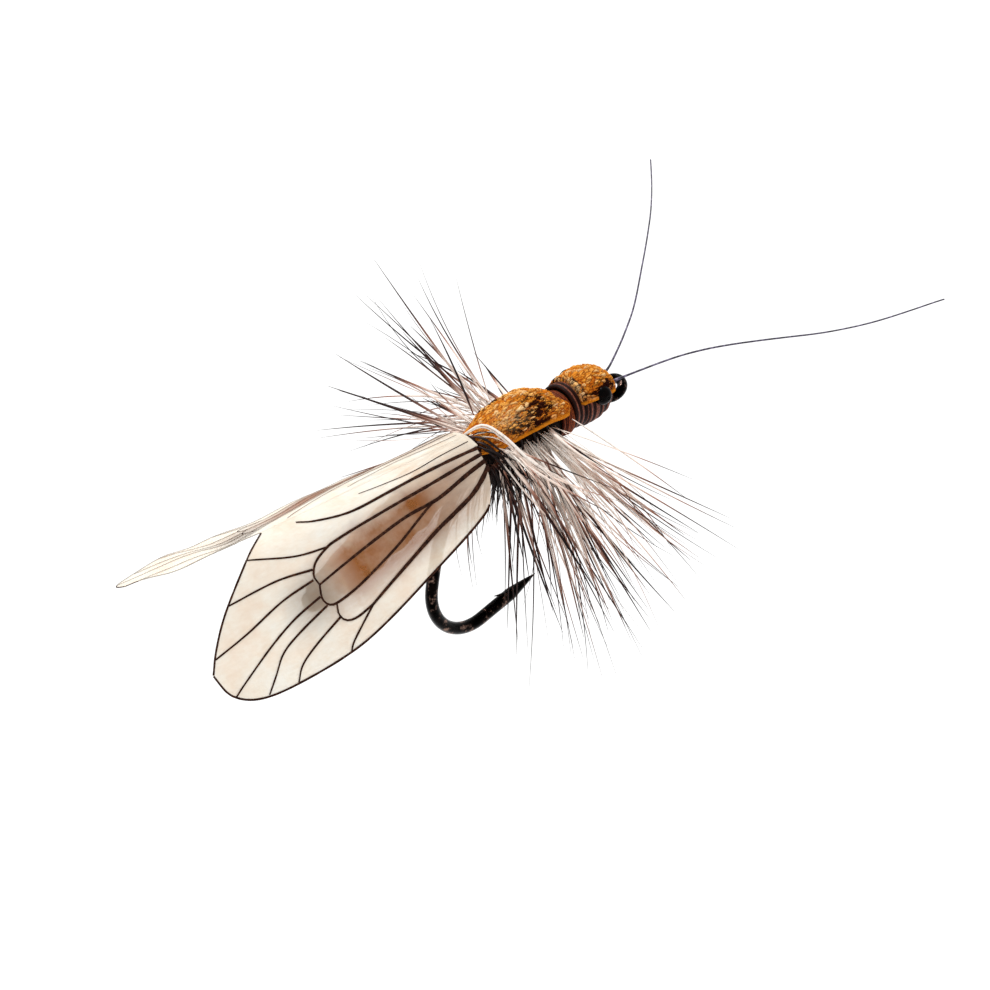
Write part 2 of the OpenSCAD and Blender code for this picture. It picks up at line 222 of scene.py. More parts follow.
def tube(points, radius, sides, flat=1.0, up=None, round_ends=False):
    """A tube along points. radius is a number or one a point; flat squashes it along its own up."""
    radii = list(radius) if hasattr(radius, "__len__") else [radius] * len(points)
    points = [Vector(p) for p in points]
    if round_ends:
        first, last = points[0], points[-1]
        head = (points[0] - points[1]).normalized()
        tail = (points[-1] - points[-2]).normalized()
        points = [first + head * radii[0] * 0.9, first + head * radii[0] * 0.6] + points
        points += [last + tail * radii[-1] * 0.6, last + tail * radii[-1] * 0.9]
        radii = [radii[0] * 0.35, radii[0] * 0.8] + radii + [radii[-1] * 0.8, radii[-1] * 0.35]
    across = None
    verts = []
    for i, p in enumerate(points):
        ahead = points[min(i + 1, len(points) - 1)] - points[max(i - 1, 0)]
        ahead.normalize()
        if up is not None:
            lift = Vector(up[i] if isinstance(up, list) else up)
            across = ahead.cross(lift)
        elif across is None:
            across = ahead.cross(Vector((0, 0, 1)) if abs(ahead.z) < 0.9 else Vector((1, 0, 0)))
        else:
            across = across - ahead * across.dot(ahead)
        across.normalize()
        over = across.cross(ahead)
        for k in range(sides):
            a = 2 * math.pi * k / sides
            verts.append(p + across * math.cos(a) * radii[i] + over * math.sin(a) * radii[i] * flat)
    return verts, skin(len(points), sides)


def box_mm(node):
    low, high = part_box(node)
    return low / MM, high / MM


def smooth_step(x):
    x = min(1, max(0, x))
    return x * x * (3 - 2 * x)


def spoke(angle):
    """The way out from the body's line; angle 0 is up, and a quarter turn is the fly's left."""
    return Vector((0, math.sin(angle), math.cos(angle)))


def side_spoke(angle):
    """The same, with angle 0 at the fly's left and a quarter turn up."""
    return Vector((0, math.cos(angle), math.sin(angle)))


def scatter(rng, *spreads):
    return Vector([rng.gauss(0, spread) for spread in spreads])


# ---------------------------------------------------------------- material helpers

def rgb(red, green, blue):
    """A colour given as 0 to 255 in sRGB."""
    def linear(v):
        v /= 255
        return v / 12.92 if v <= 0.04045 else ((v + 0.055) / 1.055) ** 2.4
    return (linear(red), linear(green), linear(blue), 1)


class Shader:
    """Short names for the nodes that the materials are made of."""

    def __init__(self, name, roughness=0.5, **sockets):
        self.material = bpy.data.materials.new(name)
        self.material.use_nodes = True
        self.tree = self.material.node_tree
        self.main = self.tree.nodes["Principled BSDF"]
        self.main.inputs["Roughness"].default_value = roughness
        for key, value in sockets.items():
            self.main.inputs[key.replace("_", " ")].default_value = value
        place = self.tree.nodes.new("ShaderNodeTexCoord")
        scale = self.node("ShaderNodeVectorMath", operation="SCALE")
        scale.inputs["Scale"].default_value = 1 / MM
        self.link(place.outputs["Object"], scale.inputs[0])
        self.place = scale.outputs[0]

    def node(self, kind, **settings):
        made = self.tree.nodes.new(kind)
        for key, value in settings.items():
            setattr(made, key, value)
        return made

    def link(self, a, b):
        self.tree.links.new(a, b)

    def stretched(self, x, y, z):
        made = self.node("ShaderNodeVectorMath", operation="MULTIPLY")
        self.link(self.place, made.inputs[0])
        made.inputs[1].default_value = (x, y, z)
        return made.outputs[0]

    def noise(self, scale, detail=3, roughness=0.5, at=None, distortion=0):
        made = self.node("ShaderNodeTexNoise")
        made.inputs["Scale"].default_value = scale
        made.inputs["Detail"].default_value = detail
        made.inputs["Roughness"].default_value = roughness
        made.inputs["Distortion"].default_value = distortion
        self.link(at or self.place, made.inputs["Vector"])
        return made.outputs["Fac"]

    def number(self, name):
        return self.node("ShaderNodeAttribute", attribute_name=name).outputs["Fac"]

    def ramp(self, value, *stops):
        made = self.node("ShaderNodeValToRGB")
        band = made.color_ramp
        while len(band.elements) < len(stops):
            band.elements.new(0.5)
        for element, (position, *colour) in zip(band.elements, stops):
            element.position = position
            element.color = rgb(*colour)
        self.link(value, made.inputs["Fac"])
        return made.outputs["Color"]

    def span(self, value, low, high, out_low=0.0, out_high=1.0):
        made = self.node("ShaderNodeMapRange")
        made.inputs["From Min"].default_value = low
        made.inputs["From Max"].default_value = high
        made.inputs["To Min"].default_value = out_low
        made.inputs["To Max"].default_value = out_high
        self.link(value, made.inputs["Value"])
        return made.outputs["Result"]

    def feed(self, sockets, values):
        """Each value is another node's output, which is linked, or a plain number or colour."""
        for socket, value in zip(sockets, values):
            if hasattr(value, "is_linked"):
                self.link(value, socket)
            else:
                socket.default_value = value

    def mix(self, share, first, second):
        made = self.node("ShaderNodeMix", data_type="RGBA")
        share_socket, first_socket, second_socket = (made.inputs[i] for i in (0, 6, 7))
        self.feed((share_socket, first_socket, second_socket), (share, first, second))
        return made.outputs[2]

    def maths(self, operation, first, second):
        made = self.node("ShaderNodeMath", operation=operation)
        self.feed(made.inputs, (first, second))
        return made.outputs[0]

    def times(self, first, *others):
        for other in others:
            first = self.maths("MULTIPLY", first, other)
        return first

    def colour(self, value):
        self.link(value, self.main.inputs["Base Color"])

    def rough(self, value):
        self.link(value, self.main.inputs["Roughness"])

    def bump(self, height, depth, strength=1.0):
        """depth is how deep the relief is, in millimetres."""
        made = self.node("ShaderNodeBump")
        made.inputs["Strength"].default_value = strength
        made.inputs["Distance"].default_value = depth * MM
        self.link(height, made.inputs["Height"])
        self.link(made.outputs["Normal"], self.main.inputs["Normal"])


# ---------------------------------------------------------------- materials

def nickel():
    s = Shader("black_nickel", 0.2, Metallic=1)
    # pale patches: worn plating, and painted warm reflections on the black wire
    wear_and_reflection = s.noise(3.2, 4, 0.6)
    s.colour(s.ramp(wear_and_reflection, (0.42, 2, 2, 2), (0.56, 14, 9, 8), (0.7, 130, 104, 92)))
    s.rough(s.span(s.noise(9, 3), 0.3, 0.7, 0.14, 0.34))
    s.bump(s.noise(18, 2, at=s.stretched(1, 3, 1)), 0.004)
    return s.material


def thread(name, dark, highlight, roughness=0.5):
    s = Shader(name, roughness, Specular_IOR_Level=0.12)
    fibres = s.noise(14, 3, 0.6, at=s.stretched(6, 1.2, 1.2), distortion=0.4)
    # painted highlight: the outer crest of each strand takes the lighter colour, broken up by the fibres
    lit = s.times(s.span(fibres, 0.4, 0.54), s.span(s.number("crest"), 0.9, 1.0))
    s.colour(s.mix(lit, dark, highlight))
    s.bump(fibres, 0.02, 0.8)
    return s.material


def dubbing():
    s = Shader("dubbing", 0.95, Specular_IOR_Level=0.1)
    fur = s.noise(9, 5, 0.7, distortion=1.2)
    s.colour(s.ramp(fur, (0.35, 8, 5, 4), (0.6, 30, 17, 12), (0.78, 66, 42, 28)))
    s.bump(fur, 0.06)
    return s.material


def cement():
    s = Shader("head_cement", 0.08, Coat_Weight=1, Coat_Roughness=0.03)
    s.colour(s.ramp(s.noise(6, 3), (0.35, 28, 16, 14), (0.7, 78, 44, 30)))
    s.bump(s.noise(9, 2), 0.01)
    return s.material


def cover_foam():
    """Sanded closed-cell foam: pebble and groove come with the mesh. The dark patches are partly marker pen
    and partly painted shade, the pale rubbed patches partly wear and partly a painted highlight, and the
    grooves and sides are painted darker as shade.
    """
    s = Shader("cover_foam", 0.88, Specular_IOR_Level=0.05)
    pebble = s.ramp(s.number("pebble"), (0.0, 198, 104, 20), (0.3, 230, 138, 36), (0.62, 242, 162, 58),
                    (0.86, 252, 186, 96), (1.0, 255, 216, 156))
    grain = s.noise(17, 4, 0.7, at=s.stretched(0.5, 1, 1))
    mottled = s.mix(s.span(grain, 0.36, 0.5), rgb(146, 54, 2), pebble)
    # painted shade: the grooves between the pebbles are painted dark red-brown
    groove = s.span(s.number("groove"), 0.0, 0.36, 0.1, 1.0)
    groove_shaded = s.mix(groove, rgb(104, 26, 0), mottled)
    # painted shade: the sides and underside are mixed half way to a darker, redder orange
    low = s.mix(s.number("under"), groove_shaded, s.mix(0.5, groove_shaded, rgb(176, 78, 12)))
    # the dark patches are partly marker pen and partly painted shade, broken up by noise
    shade_patches = s.span(s.noise(7, 4, 0.7, at=s.stretched(0.45, 1, 1)), 0.4, 0.58)
    speck = s.maths("GREATER_THAN", s.number("pebble"), 0.84)
    dark = s.maths("SUBTRACT", s.times(s.number("stain"), shade_patches), s.times(speck, 0.7))
    with_painted_shade = s.mix(s.span(dark, 0.1, 0.42), low, rgb(40, 7, 1))
    # the pale patches are partly rubbed wear and partly a painted highlight
    rubbed_and_lit = s.span(s.noise(12, 3, 0.7, at=s.stretched(0.5, 1, 1)), 0.42, 0.6)
    worn = s.mix(s.times(s.number("worn"), rubbed_and_lit), with_painted_shade, rgb(248, 208, 150))
    s.colour(s.mix(s.number("edge"), worn, rgb(226, 134, 22)))
    s.rough(s.span(grain, 0.3, 0.7, 0.75, 0.95))
    s.bump(s.noise(30, 3, 0.6, at=s.stretched(0.5, 1, 1)), 0.025, 0.9)
    return s.material


def bead_glass():
    s = Shader("bead", 0.25, Specular_IOR_Level=0.04)
    s.colour(s.ramp(s.noise(5, 2), (0.4, 2, 1, 1), (0.8, 12, 5, 4)))
    s.bump(s.noise(7, 1), 0.004)
    return s.material


def antenna_fibre():
    s = Shader("antenna", 0.35)
    bands = s.noise(3.4, 4, 0.6, at=s.stretched(1.6, 1, 1))
    s.colour(s.ramp(bands, (0.38, 22, 17, 34), (0.55, 64, 54, 82), (0.72, 150, 140, 168)))
    s.bump(s.noise(16, 2, at=s.stretched(0.4, 1, 1)), 0.008)
    return s.material


def hackle_barb():
    s = Shader("hackle", 0.45, Specular_IOR_Level=0.2)
    turn = s.maths("SUBTRACT", s.number("along"), s.span(s.number("tone"), 0, 1, -0.12, 0.8))
    body = s.ramp(s.span(turn, -0.3, 0.4), (0.0, 255, 245, 235), (0.4, 254, 230, 215),
                  (0.6, 170, 118, 98), (0.8, 56, 25, 19), (1.0, 20, 7, 6))
    rachis = s.mix(s.span(s.number("under"), 0.6, 0.95, 0, 0.7), body, rgb(58, 28, 22))
    fleck = s.noise(9, 3, 0.6)
    s.colour(s.mix(s.span(fleck, 0.56, 0.74, 0, 0.4), rachis, rgb(92, 58, 50)))
    s.bump(fleck, 0.006)
    return s.material


def wing_film():
    """Printed film. film_s and film_t are how far back and how far out it was before folding."""
    s = Shader("wing_film", 0.5, Alpha=0.64, Specular_IOR_Level=0.25)
    cloud = s.noise(0.7, 5, 0.6)
    fibre = s.noise(9, 3, 0.7, at=s.stretched(0.25, 1, 1))
    base = s.ramp(cloud, (0.32, 252, 234, 212), (0.52, 255, 246, 230), (0.72, 255, 252, 242))
    tinted = s.mix(s.span(fibre, 0.35, 0.7, 0, 0.2), base, rgb(236, 204, 164))
    back, out = s.number("film_s"), s.number("film_t")
    lean = s.maths("SUBTRACT", out, s.times(back, 0.16))
    # painted shade: the film is tinted warm brown where the abdomen lies close below it
    ends = s.times(s.span(s.maths("ADD", back, s.times(cloud, 3)), 10.2, 12.6, 1, 0),
                   s.span(back, 0.5, 4.5, 0.3, 1))
    wobble = s.maths("ADD", lean, s.times(cloud, 0.8))
    edges = s.times(s.span(wobble, 0.4, 1.3), s.span(wobble, 2.7, 3.7, 1, 0))
    with_painted_shade = s.mix(s.times(ends, edges, s.span(cloud, 0.3, 0.6, 0.7, 1)), tinted, rgb(160, 98, 44))
    # painted shade: a grey patch where the abdomen's dark tip lies close below the film
    tip = s.times(s.span(back, 9.4, 10.8), s.span(back, 11.3, 12.9, 1, 0))
    shade_patches = s.times(tip, s.span(lean, 0.2, 1.2), s.span(lean, 1.9, 3.2, 0.65, 0))
    s.colour(s.mix(shade_patches, with_painted_shade, rgb(122, 104, 86)))
    s.rough(s.span(cloud, 0.3, 0.7, 0.36, 0.55))
    s.bump(s.noise(1.6, 3, 0.55), 0.09, 0.6)
    return s.material


def vein_ink():
    s = Shader("wing_vein", 0.8, Specular_IOR_Level=0.1)
    spread = s.noise(6, 4, 0.7)
    s.colour(s.ramp(spread, (0.3, 26, 10, 5), (0.54, 54, 27, 16), (0.76, 106, 66, 44)))
    s.bump(s.noise(20, 2), 0.006)
    return s.material


def abdomen_foam_material():
    s = Shader("abdomen_foam", 0.8, Specular_IOR_Level=0.2)
    pebble = s.ramp(s.number("pebble"), (0.0, 128, 56, 8), (0.5, 184, 96, 24), (1.0, 220, 146, 70))
    under = s.mix(s.number("under"), pebble, rgb(122, 98, 72))
    # painted shade: the creases between the segments are painted dark brown
    crease_shaded = s.mix(s.number("crease"), under, rgb(62, 32, 14))
    s.colour(s.mix(s.span(s.number("along"), 0.78, 0.96, 0, 0.9), crease_shaded, rgb(30, 14, 8)))
    s.bump(s.noise(18, 3, 0.6), 0.02, 0.8)
    return s.material


def clear_mono():
    s = Shader("clear_mono", 0.18)
    s.colour(s.ramp(s.noise(4, 2), (0.35, 206, 200, 190), (0.7, 232, 228, 222)))
    s.bump(s.noise(12, 1), 0.004)
    return s.material


NICKEL = nickel()
DARK_THREAD = thread("dark_thread", rgb(34, 8, 3), rgb(170, 98, 76))
WAIST_THREAD = thread("waist_thread", rgb(66, 20, 5), rgb(178, 84, 34), 0.6)
RIB_THREAD = thread("rib_thread", rgb(196, 168, 130), rgb(246, 232, 206))
DUBBING = dubbing()
CEMENT = cement()
COVER_FOAM = cover_foam()
BEAD = bead_glass()
ANTENNA = antenna_fibre()
HACKLE = hackle_barb()
FILM = wing_film()
VEIN = vein_ink()
ABDOMEN_FOAM = abdomen_foam_material()
MONO = clear_mono()

RIGID = "dressed_hook"


# ---------------------------------------------------------------- hook

WIRE_R = 0.26
EYE_WIRE_R = 0.21
EYE_TILT = math.radians(30)
EYE_RING_R = 0.49
SHANK_Z = -0.23
SHANK_START = -0.98
SHANK_END = -5.76
BEND = ((3.6, 70), (14.3, 12), (2.1, 115.5))
SPEAR_LEN = 1.7
POINT_LEN = 1.4


def hook_route():
    """The wire's middle line from the shank to the point, its radii, and where the bend ends."""
    route = []
    x = SHANK_START
    while x > SHANK_END:
        route.append(Vector((x, 0, SHANK_Z)))
        x -= 0.12
    at = Vector((SHANK_END, 0, SHANK_Z))
    heading = 0.0
    for radius, degrees in BEND:
        steps = max(3, round(math.radians(degrees) * radius / 0.09))
        turn = math.radians(degrees) / steps
        for _ in range(steps):
            middle = heading + turn / 2
            at = at + Vector((-math.cos(middle), 0, -math.sin(middle))) * radius * turn
            heading += turn
            route.append(at.copy())
    radii = [WIRE_R] * len(route)
    ahead = Vector((-math.cos(heading), 0, -math.sin(heading)))
    steps = 36
    length = SPEAR_LEN + POINT_LEN
    for i in range(1, steps + 1):
        run = length * i / steps
        route.append(at + ahead * run)
        radii.append(WIRE_R * min(1, (length - run) / POINT_LEN) ** 0.8)
    radii[-1] = 0.02
    return route, radii, at, ahead


def make_hook():
    build = Build()
    route, radii, bend_end, ahead = hook_route()
    # the wire comes out of the ring beside the shank, goes round it and closes against it
    tilt = Vector((math.cos(EYE_TILT), 0, math.sin(EYE_TILT)))
    ring = []
    for i in range(56):
        a = math.radians(160 - 318 * i / 55)
        ring.append(tilt * math.cos(a) * EYE_RING_R + Vector((0, 1, 0)) * math.sin(a) * EYE_RING_R)
    neck = spline([ring[-1], Vector((-0.56, -0.1, SHANK_Z - 0.02)), Vector((-0.78, -0.02, SHANK_Z)),
                   route[0]], 14)[1:]
    thick = [EYE_WIRE_R] * len(ring)
    thick += [EYE_WIRE_R + (WIRE_R - EYE_WIRE_R) * smooth_step(i / 13) for i in range(len(neck))]
    build.add(*tube(ring + neck + route[1:], thick + radii[1:], 28))
    # the barb, cut up from the inside of the spear
    inward = Vector((-ahead.z, 0, ahead.x))
    foot = bend_end + ahead * (SPEAR_LEN - 0.05) + inward * (WIRE_R * 0.55)
    blade = [foot + ahead * back + inward * rise
             for back, rise in ((0.25, 0), (0, 0), (-0.3, 0.1), (-0.55, 0.22), (-0.75, 0.33))]
    build.add(*tube(spline(blade, 14), [0.16 - 0.14 * (i / 13) ** 1.4 for i in range(14)], 12,
                    flat=0.55, up=Vector((0, 0, 1))))
    build.fixed("hook_wire", NICKEL, RIGID, "hook_wire", "hook")


# ---------------------------------------------------------------- thread wraps

def helix(x0, x1, z, radius_at, pitch, seed):
    """Points of a winding round a line along X, from x0 back to x1, and the outward way at each."""
    rng = random.Random(seed)
    turns = abs(x1 - x0) / pitch
    count = max(12, int(turns * 44))
    shift = [rng.uniform(-0.12, 0.12) * pitch for _ in range(int(turns) + 3)]
    points, ups = [], []
    for i in range(count + 1):
        v = i / count
        a = 2 * math.pi * turns * v + 1.2
        k = a / (2 * math.pi)
        wander = shift[int(k)] * (1 - k % 1) + shift[int(k) + 1] * (k % 1)
        out = spoke(a)
        points.append(Vector((x0 + (x1 - x0) * v + wander, 0, z)) + out * radius_at(v))
        ups.append(out)
    return points, ups


def add_strand(build, wound, width, height):
    """A flattened strand, with crest 1 along its outer side and 0 at its edges; the thread material paints
    the crest as a highlight.
    """
    points, ups = wound
    sides = 12
    verts, faces = tube(points, width, sides, flat=height / width, up=ups)
    crest = [max(0.0, math.sin(2 * math.pi * (i % sides) / sides)) for i in range(len(verts))]
    build.add(verts, faces, crest=crest)


def wrap(name, node, x0, x1, radius_at, pitch, width, height, material, seed, crossings=0):
    """Thread wound side by side over a node's length, with a few turns that cross the others."""
    low, high = box_mm(node)
    x0, x1, z = high.x + x0, low.x + x1, (low.z + high.z) / 2
    build = Build()
    add_strand(build, helix(x0, x1, z, radius_at, pitch, seed), width, height)
    rng = random.Random(seed + 7)
    for i in range(crossings):
        a0 = x0 + (x1 - x0) * rng.uniform(0.05, 0.55)
        a1 = a0 + (x1 - x0) * rng.uniform(0.2, 0.4)
        share0, share1 = (a0 - x0) / (x1 - x0), (a1 - x0) / (x1 - x0)

        def raised(v, s0=share0, s1=share1):
            return radius_at(s0 + (s1 - s0) * v) + height * 0.7

        wound = helix(a0, a1, z, raised, abs(a1 - a0) / rng.uniform(1.2, 2.2), seed + i)
        add_strand(build, wound, width * 0.9, height * 0.9)
    build.fixed(name, material, RIGID, "dark_thread", node)


def make_wraps():
    """The winding's two ends are given from the front and the rear of its node."""
    wrap("head_windings", "head_thread", -0.05, 0.05,
         lambda v: 0.76 + 0.14 * v + 0.05 * math.sin(math.pi * v), 0.29, 0.15, 0.1, DARK_THREAD, 3, 4)
    wrap("whip_windings", "whip_finish", -0.04, 0.02,
         lambda v: 0.56 + 0.12 * v, 0.085, 0.052, 0.04, DARK_THREAD, 5, 2)
    wrap("waist_windings", "waist_thread", 0.2, -0.06,
         lambda v: 0.9 - 0.08 * math.sin(math.pi * v) ** 0.5, 0.17, 0.085, 0.075, WAIST_THREAD, 6, 4)
    wrap("tail_windings", "tail_thread", -0.02, 0.02,
         lambda v: 0.16 + 0.03 * v, 0.07, 0.042, 0.03, DARK_THREAD, 8)


# ---------------------------------------------------------------- foam covers

THORAX_LOW, THORAX_HIGH = box_mm("thorax_cover")
QUILL_LOW, QUILL_HIGH = box_mm("hackle_quill")
THORAX_Z = (QUILL_LOW.z + QUILL_HIGH.z) / 2


def head_r(u):
    """The head's outside, u from 0 at its front to 1 at its rear."""
    return 0.76 + 0.32 * u + 0.4 * math.sin(math.pi * u ** 0.7)


def thorax_r(u):
    """The thorax's outside over the foam, by the same kind of u."""
    return 1.22 - 0.5 * u + 0.6 * math.sin(math.pi * u ** 0.85)


def pebbles(p, seed, stretch=0.44, size=9.0):
    """Relief of sanded foam at p: height, pebble number and depth in its groove."""
    q = Vector((p.x * size * stretch, p.y * size, p.z * size)) + Vector((seed, 0, 0))
    q = q + noise.noise_vector(q * 0.6) * 0.7
    distances, centres = noise.voronoi(q)
    groove = min(1.0, (distances[1] - distances[0]) / 0.42)
    number = (noise.cell(centres[0] * 7.3) + 1) / 2
    lump = noise.noise(p * 1.5 + Vector((seed, 3, 0))) * 0.06
    fine = noise.noise(p * 15) * 0.012
    height = lump + fine + 0.055 * smooth_step(groove * 1.3) * (0.35 + number) - 0.03
    return height, number, groove


def squared(a):
    """The cosine and sine of a, pushed out towards a square so a cut edge stays crisp."""
    c, s = math.cos(a), math.sin(a)
    return math.copysign(abs(c) ** 0.45, c), 0.55 * abs(s) ** 0.45


def foam_section(half, columns):
    """Round a foam strip's section: the angle, 1 on top to -1 below, and how far the edge bulges."""
    edge_steps = 6
    edge = [squared(math.pi * i / edge_steps) for i in range(1, edge_steps)]
    below = columns // 4
    return ([(-half + 2 * half * i / (columns - 1), 1.0, 0.0) for i in range(columns)]
            + [(half, side, bulge) for side, bulge in edge]
            + [(half - 2 * half * i / (below - 1), -1.0, 0.0) for i in range(below)]
            + [(-half, -side, -bulge) for side, bulge in edge])


def foam_cover(name, node, x_front, length, z, outer, inner, half_at, shift_at, marker_and_shade_at, worn_and_highlight_at,
               seed, rows, columns):
    """A foam strip over the top of the body: a closed shell with rounded cut edges."""
    shares = [0.5 - 0.5 * math.cos(math.pi * (0.03 + 0.94 * i / (rows - 1))) for i in range(rows)]
    shares = [(s - shares[0]) / (shares[-1] - shares[0]) for s in shares]
    verts = []
    numbers = {key: [] for key in ("pebble", "groove", "stain", "worn", "edge", "under")}
    for u in shares:
        thick = outer(u) - inner(u)
        near_end = min(u, 1 - u) * length / (thick * 0.3)
        full = math.sqrt(max(0.0, 1 - (1 - min(1, near_end)) ** 2))
        middle = (outer(u) + inner(u)) / 2
        half_thick = max(0.012, thick / 2 * full)
        half = half_at(u)
        for angle, side, bulge in foam_section(half, columns):
            a = angle + bulge * half_thick / middle
            out = Vector((0, -math.sin(a), math.cos(a)))
            p = Vector((x_front - u * length + shift_at(u, abs(angle)), 0, z))
            p = p + out * (middle + half_thick * side)
            height, number, groove = pebbles(p, seed)
            share = max(0.0, (side + 0.25) / 1.25) * (0.35 + 0.65 * full)
            edge = smooth_step(1 - (half - abs(angle)) * middle / 0.1)
            verts.append(p + out * height * share * (1 - 0.45 * edge))
            # how far round to the side and underside, which the foam material paints as shade
            under = smooth_step((abs(angle) - 0.5) / 0.7)
            values = (min(1, max(0, number)), groove, marker_and_shade_at(u, angle), worn_and_highlight_at(u, angle),
                      edge * 0.7, under)
            for kept, value in zip(numbers.values(), values):
                kept.append(value)
    build = Build()
    build.add(verts, skin(rows, len(verts) // rows), **numbers)
    build.fixed(name, COVER_FOAM, RIGID, "cover_foam", node)


def blot(u, angle, u0, a0, du, da):
    """A soft-edged patch of 1 at (u0, a0)."""
    return math.exp(-(((u - u0) / du) ** 2 + ((angle - math.radians(a0)) / math.radians(da)) ** 2))


def make_thorax_cover():
    low, high = box_mm("thorax_cover")
    thickness = 0.34

    def inner(u):
        return thorax_r(u) - thickness + 0.18 * u ** 3

    def half(u):
        return math.radians(60 + 13 * smooth_step((u - 0.4) / 0.55) + 0.8 * math.sin(17 * u))

    def shift(u, a):
        return 0.36 * math.exp(-((a - 0.8) / 0.3) ** 2) * (1 - u) ** 4

    # painted shade on both sides, mostly on the right, with a little marker over all
    def stain(u, angle):
        right = 1.4 * blot(u, angle, 0.48, 47, 0.17, 15) + 0.7 * blot(u, angle, 0.28, 22, 0.14, 20)
        left = blot(u, angle, 0.5, -46, 0.2, 18)
        return min(1, right + left + 0.14)

    # the pale patch high on the right towards the rear is partly rubbed wear and partly a painted highlight
    foam_cover("thorax_foam", "thorax_cover", high.x, high.x - low.x, THORAX_Z,
               lambda u: thorax_r(u) - 0.02, inner, half, shift, stain,
               lambda u, a: 0.6 * blot(u, a, 0.64, 26, 0.13, 18), 11, 240, 210)


def make_head_cover():
    low, high = box_mm("head_cover")
    thread_low, thread_high = box_mm("head_thread")
    z = (thread_low.z + thread_high.z) / 2
    length = high.x - low.x - 0.4
    flap_share = 0.32 / length

    def outer(u):
        body = (u - flap_share) / (1 - flap_share)
        lip = 0.07 * smooth_step((u - 0.9) / 0.03)
        if body < 0.12:
            return 0.56 + (head_r(0.12) - 0.56) * smooth_step(u / (flap_share + 0.1)) ** 0.8
        return head_r(body) + lip - 0.06 * math.exp(-((u - 0.89) / 0.018) ** 2)

    def half(u):
        body = max(0.0, (u - flap_share * 0.4) / (1 - flap_share * 0.4))
        return math.radians(15 + 51 * smooth_step(body * 5))

    # painted shade on the lower sides, a painted shadow round each bead and painted shade in the groove
    # under the lip; the foam behind the lip is darker, and a little marker lies over all
    def stain(u, angle):
        side = blot(u, angle, 0.66, 58, 0.3, 12) + blot(u, angle, 0.66, -58, 0.3, 12)
        eyes = blot(u, angle, 0.45, 54, 0.13, 12) + blot(u, angle, 0.45, -54, 0.13, 12)
        groove = math.exp(-((u - 0.89) / 0.022) ** 2) + 0.5 * smooth_step((u - 0.9) / 0.03)
        return min(3, min(1, side + 0.9 * groove + 0.14) + 3 * eyes)

    # the pale patch on the lip is partly rubbed wear and partly a painted highlight
    foam_cover("head_foam", "head_cover", high.x, length, z, outer,
               lambda u: outer(u) - 0.3 + 0.12 * smooth_step(1 - u * 6), half, lambda u, a: 0, stain,
               lambda u, a: 1.2 * blot(u, a, 0.95, 22, 0.05, 20), 23, 190, 190)


# ---------------------------------------------------------------- beads and cement

def make_beads():
    hole = 0.06
    for side, name in ((-1, "right"), (1, "left")):
        low, high = box_mm(name + "_eye")
        centre = (low + high) / 2
        radius = (high.y - low.y) / 2
        profile = [(hole * 0.6, radius * 0.8), (hole, radius * 0.93)]
        start = math.asin(1.35 * hole / radius)
        for i in range(26):
            a = start + (math.pi - start) * i / 25
            profile.append((radius * math.sin(a), radius * math.cos(a)))
        sides = 56
        verts = []
        for r, h in profile:
            for k in range(sides):
                a = 2 * math.pi * k / sides
                verts.append(centre + Vector((r * math.cos(a), side * h, r * math.sin(a))))
        build = Build()
        build.add(verts, skin(len(profile), sides, clockwise=side < 0)[:-2])
        # the melted end of the bar that holds the bead
        end = [centre + Vector((0, side * radius * share, 0)) for share in (0.8, 0.9, 0.97)]
        build.add(*tube(end, [hole * 0.9, hole * 0.86, hole * 0.45], 24))
        build.fixed(name + "_bead", BEAD, RIGID, "bead_black", name + "_eye")


def make_cement():
    low, high = box_mm("head_cement")
    rows, columns = 28, 56
    centre = (low + high) / 2
    size = Vector(((high.x - low.x) / 2 + 0.05, (high.y - low.y) / 2 * 0.86, (high.z - low.z) / 2 * 0.9))
    verts = []
    for i in range(rows):
        polar = math.pi * (i + 0.5) / rows
        for k in range(columns):
            way = side_spoke(2 * math.pi * k / columns) * math.sin(polar) + Vector((math.cos(polar), 0, 0))
            verts.append(centre + size * way * (1 + 0.12 * noise.noise(way * 2.4)))
    build = Build()
    build.add(verts, skin(rows, columns))
    build.fixed("cement_drop", CEMENT, RIGID, "cement", "head_cement")


# ---------------------------------------------------------------- antennae

ANTENNA_ROUTE = (
    (-0.33, 0.3, 0.46), (0, 0.38, 0.54), (0.4, 0.52, 0.63), (1, 0.82, 0.81), (1.7, 1.2, 1.03),
    (2.4, 1.62, 1.24), (3.2, 2.15, 1.42), (4, 2.76, 1.56), (4.9, 3.5, 1.69), (5.8, 4.25, 1.82),
    (6.7, 5, 1.97), (7.6, 5.77, 2.2), (8.5, 6.58, 2.5), (9.4, 7.5, 2.94), (10.3, 8.52, 3.5),
)


def make_antennae():
    count = 130
    for side, name in ((1, "left"), (-1, "right")):
        phase = random.Random(40 + side).uniform(0, 6)
        points, radii = [], []
        for i, p in enumerate(spline(ANTENNA_ROUTE, count)):
            v = i / (count - 1)
            sway = 0.05 * v * math.sin(9 * v + phase)
            p = Vector((p.x, side * (p.y + sway), p.z + 0.03 * v * math.sin(14 * v + phase)))
            points.append(p)
            radii.append((0.043 + 0.045 * math.exp(-i / 4) - 0.013 * v) * (1 + 0.06 * noise.noise(p * 3)))
        build = Build()
        build.add(*tube(points, radii, 12, round_ends=True))
        build.fixed(name + "_antenna_fibre", ANTENNA, name + "_feeler", "antenna_mono", name + "_antenna")


# ---------------------------------------------------------------- hackle

def core_r(x):
    """The dubbed thorax under the foam."""
    u = min(1, max(0, (THORAX_HIGH.x - x) / (THORAX_HIGH.x - THORAX_LOW.x)))
    return thorax_r(u) - (0.34 - 0.18 * u ** 3) - 0.16


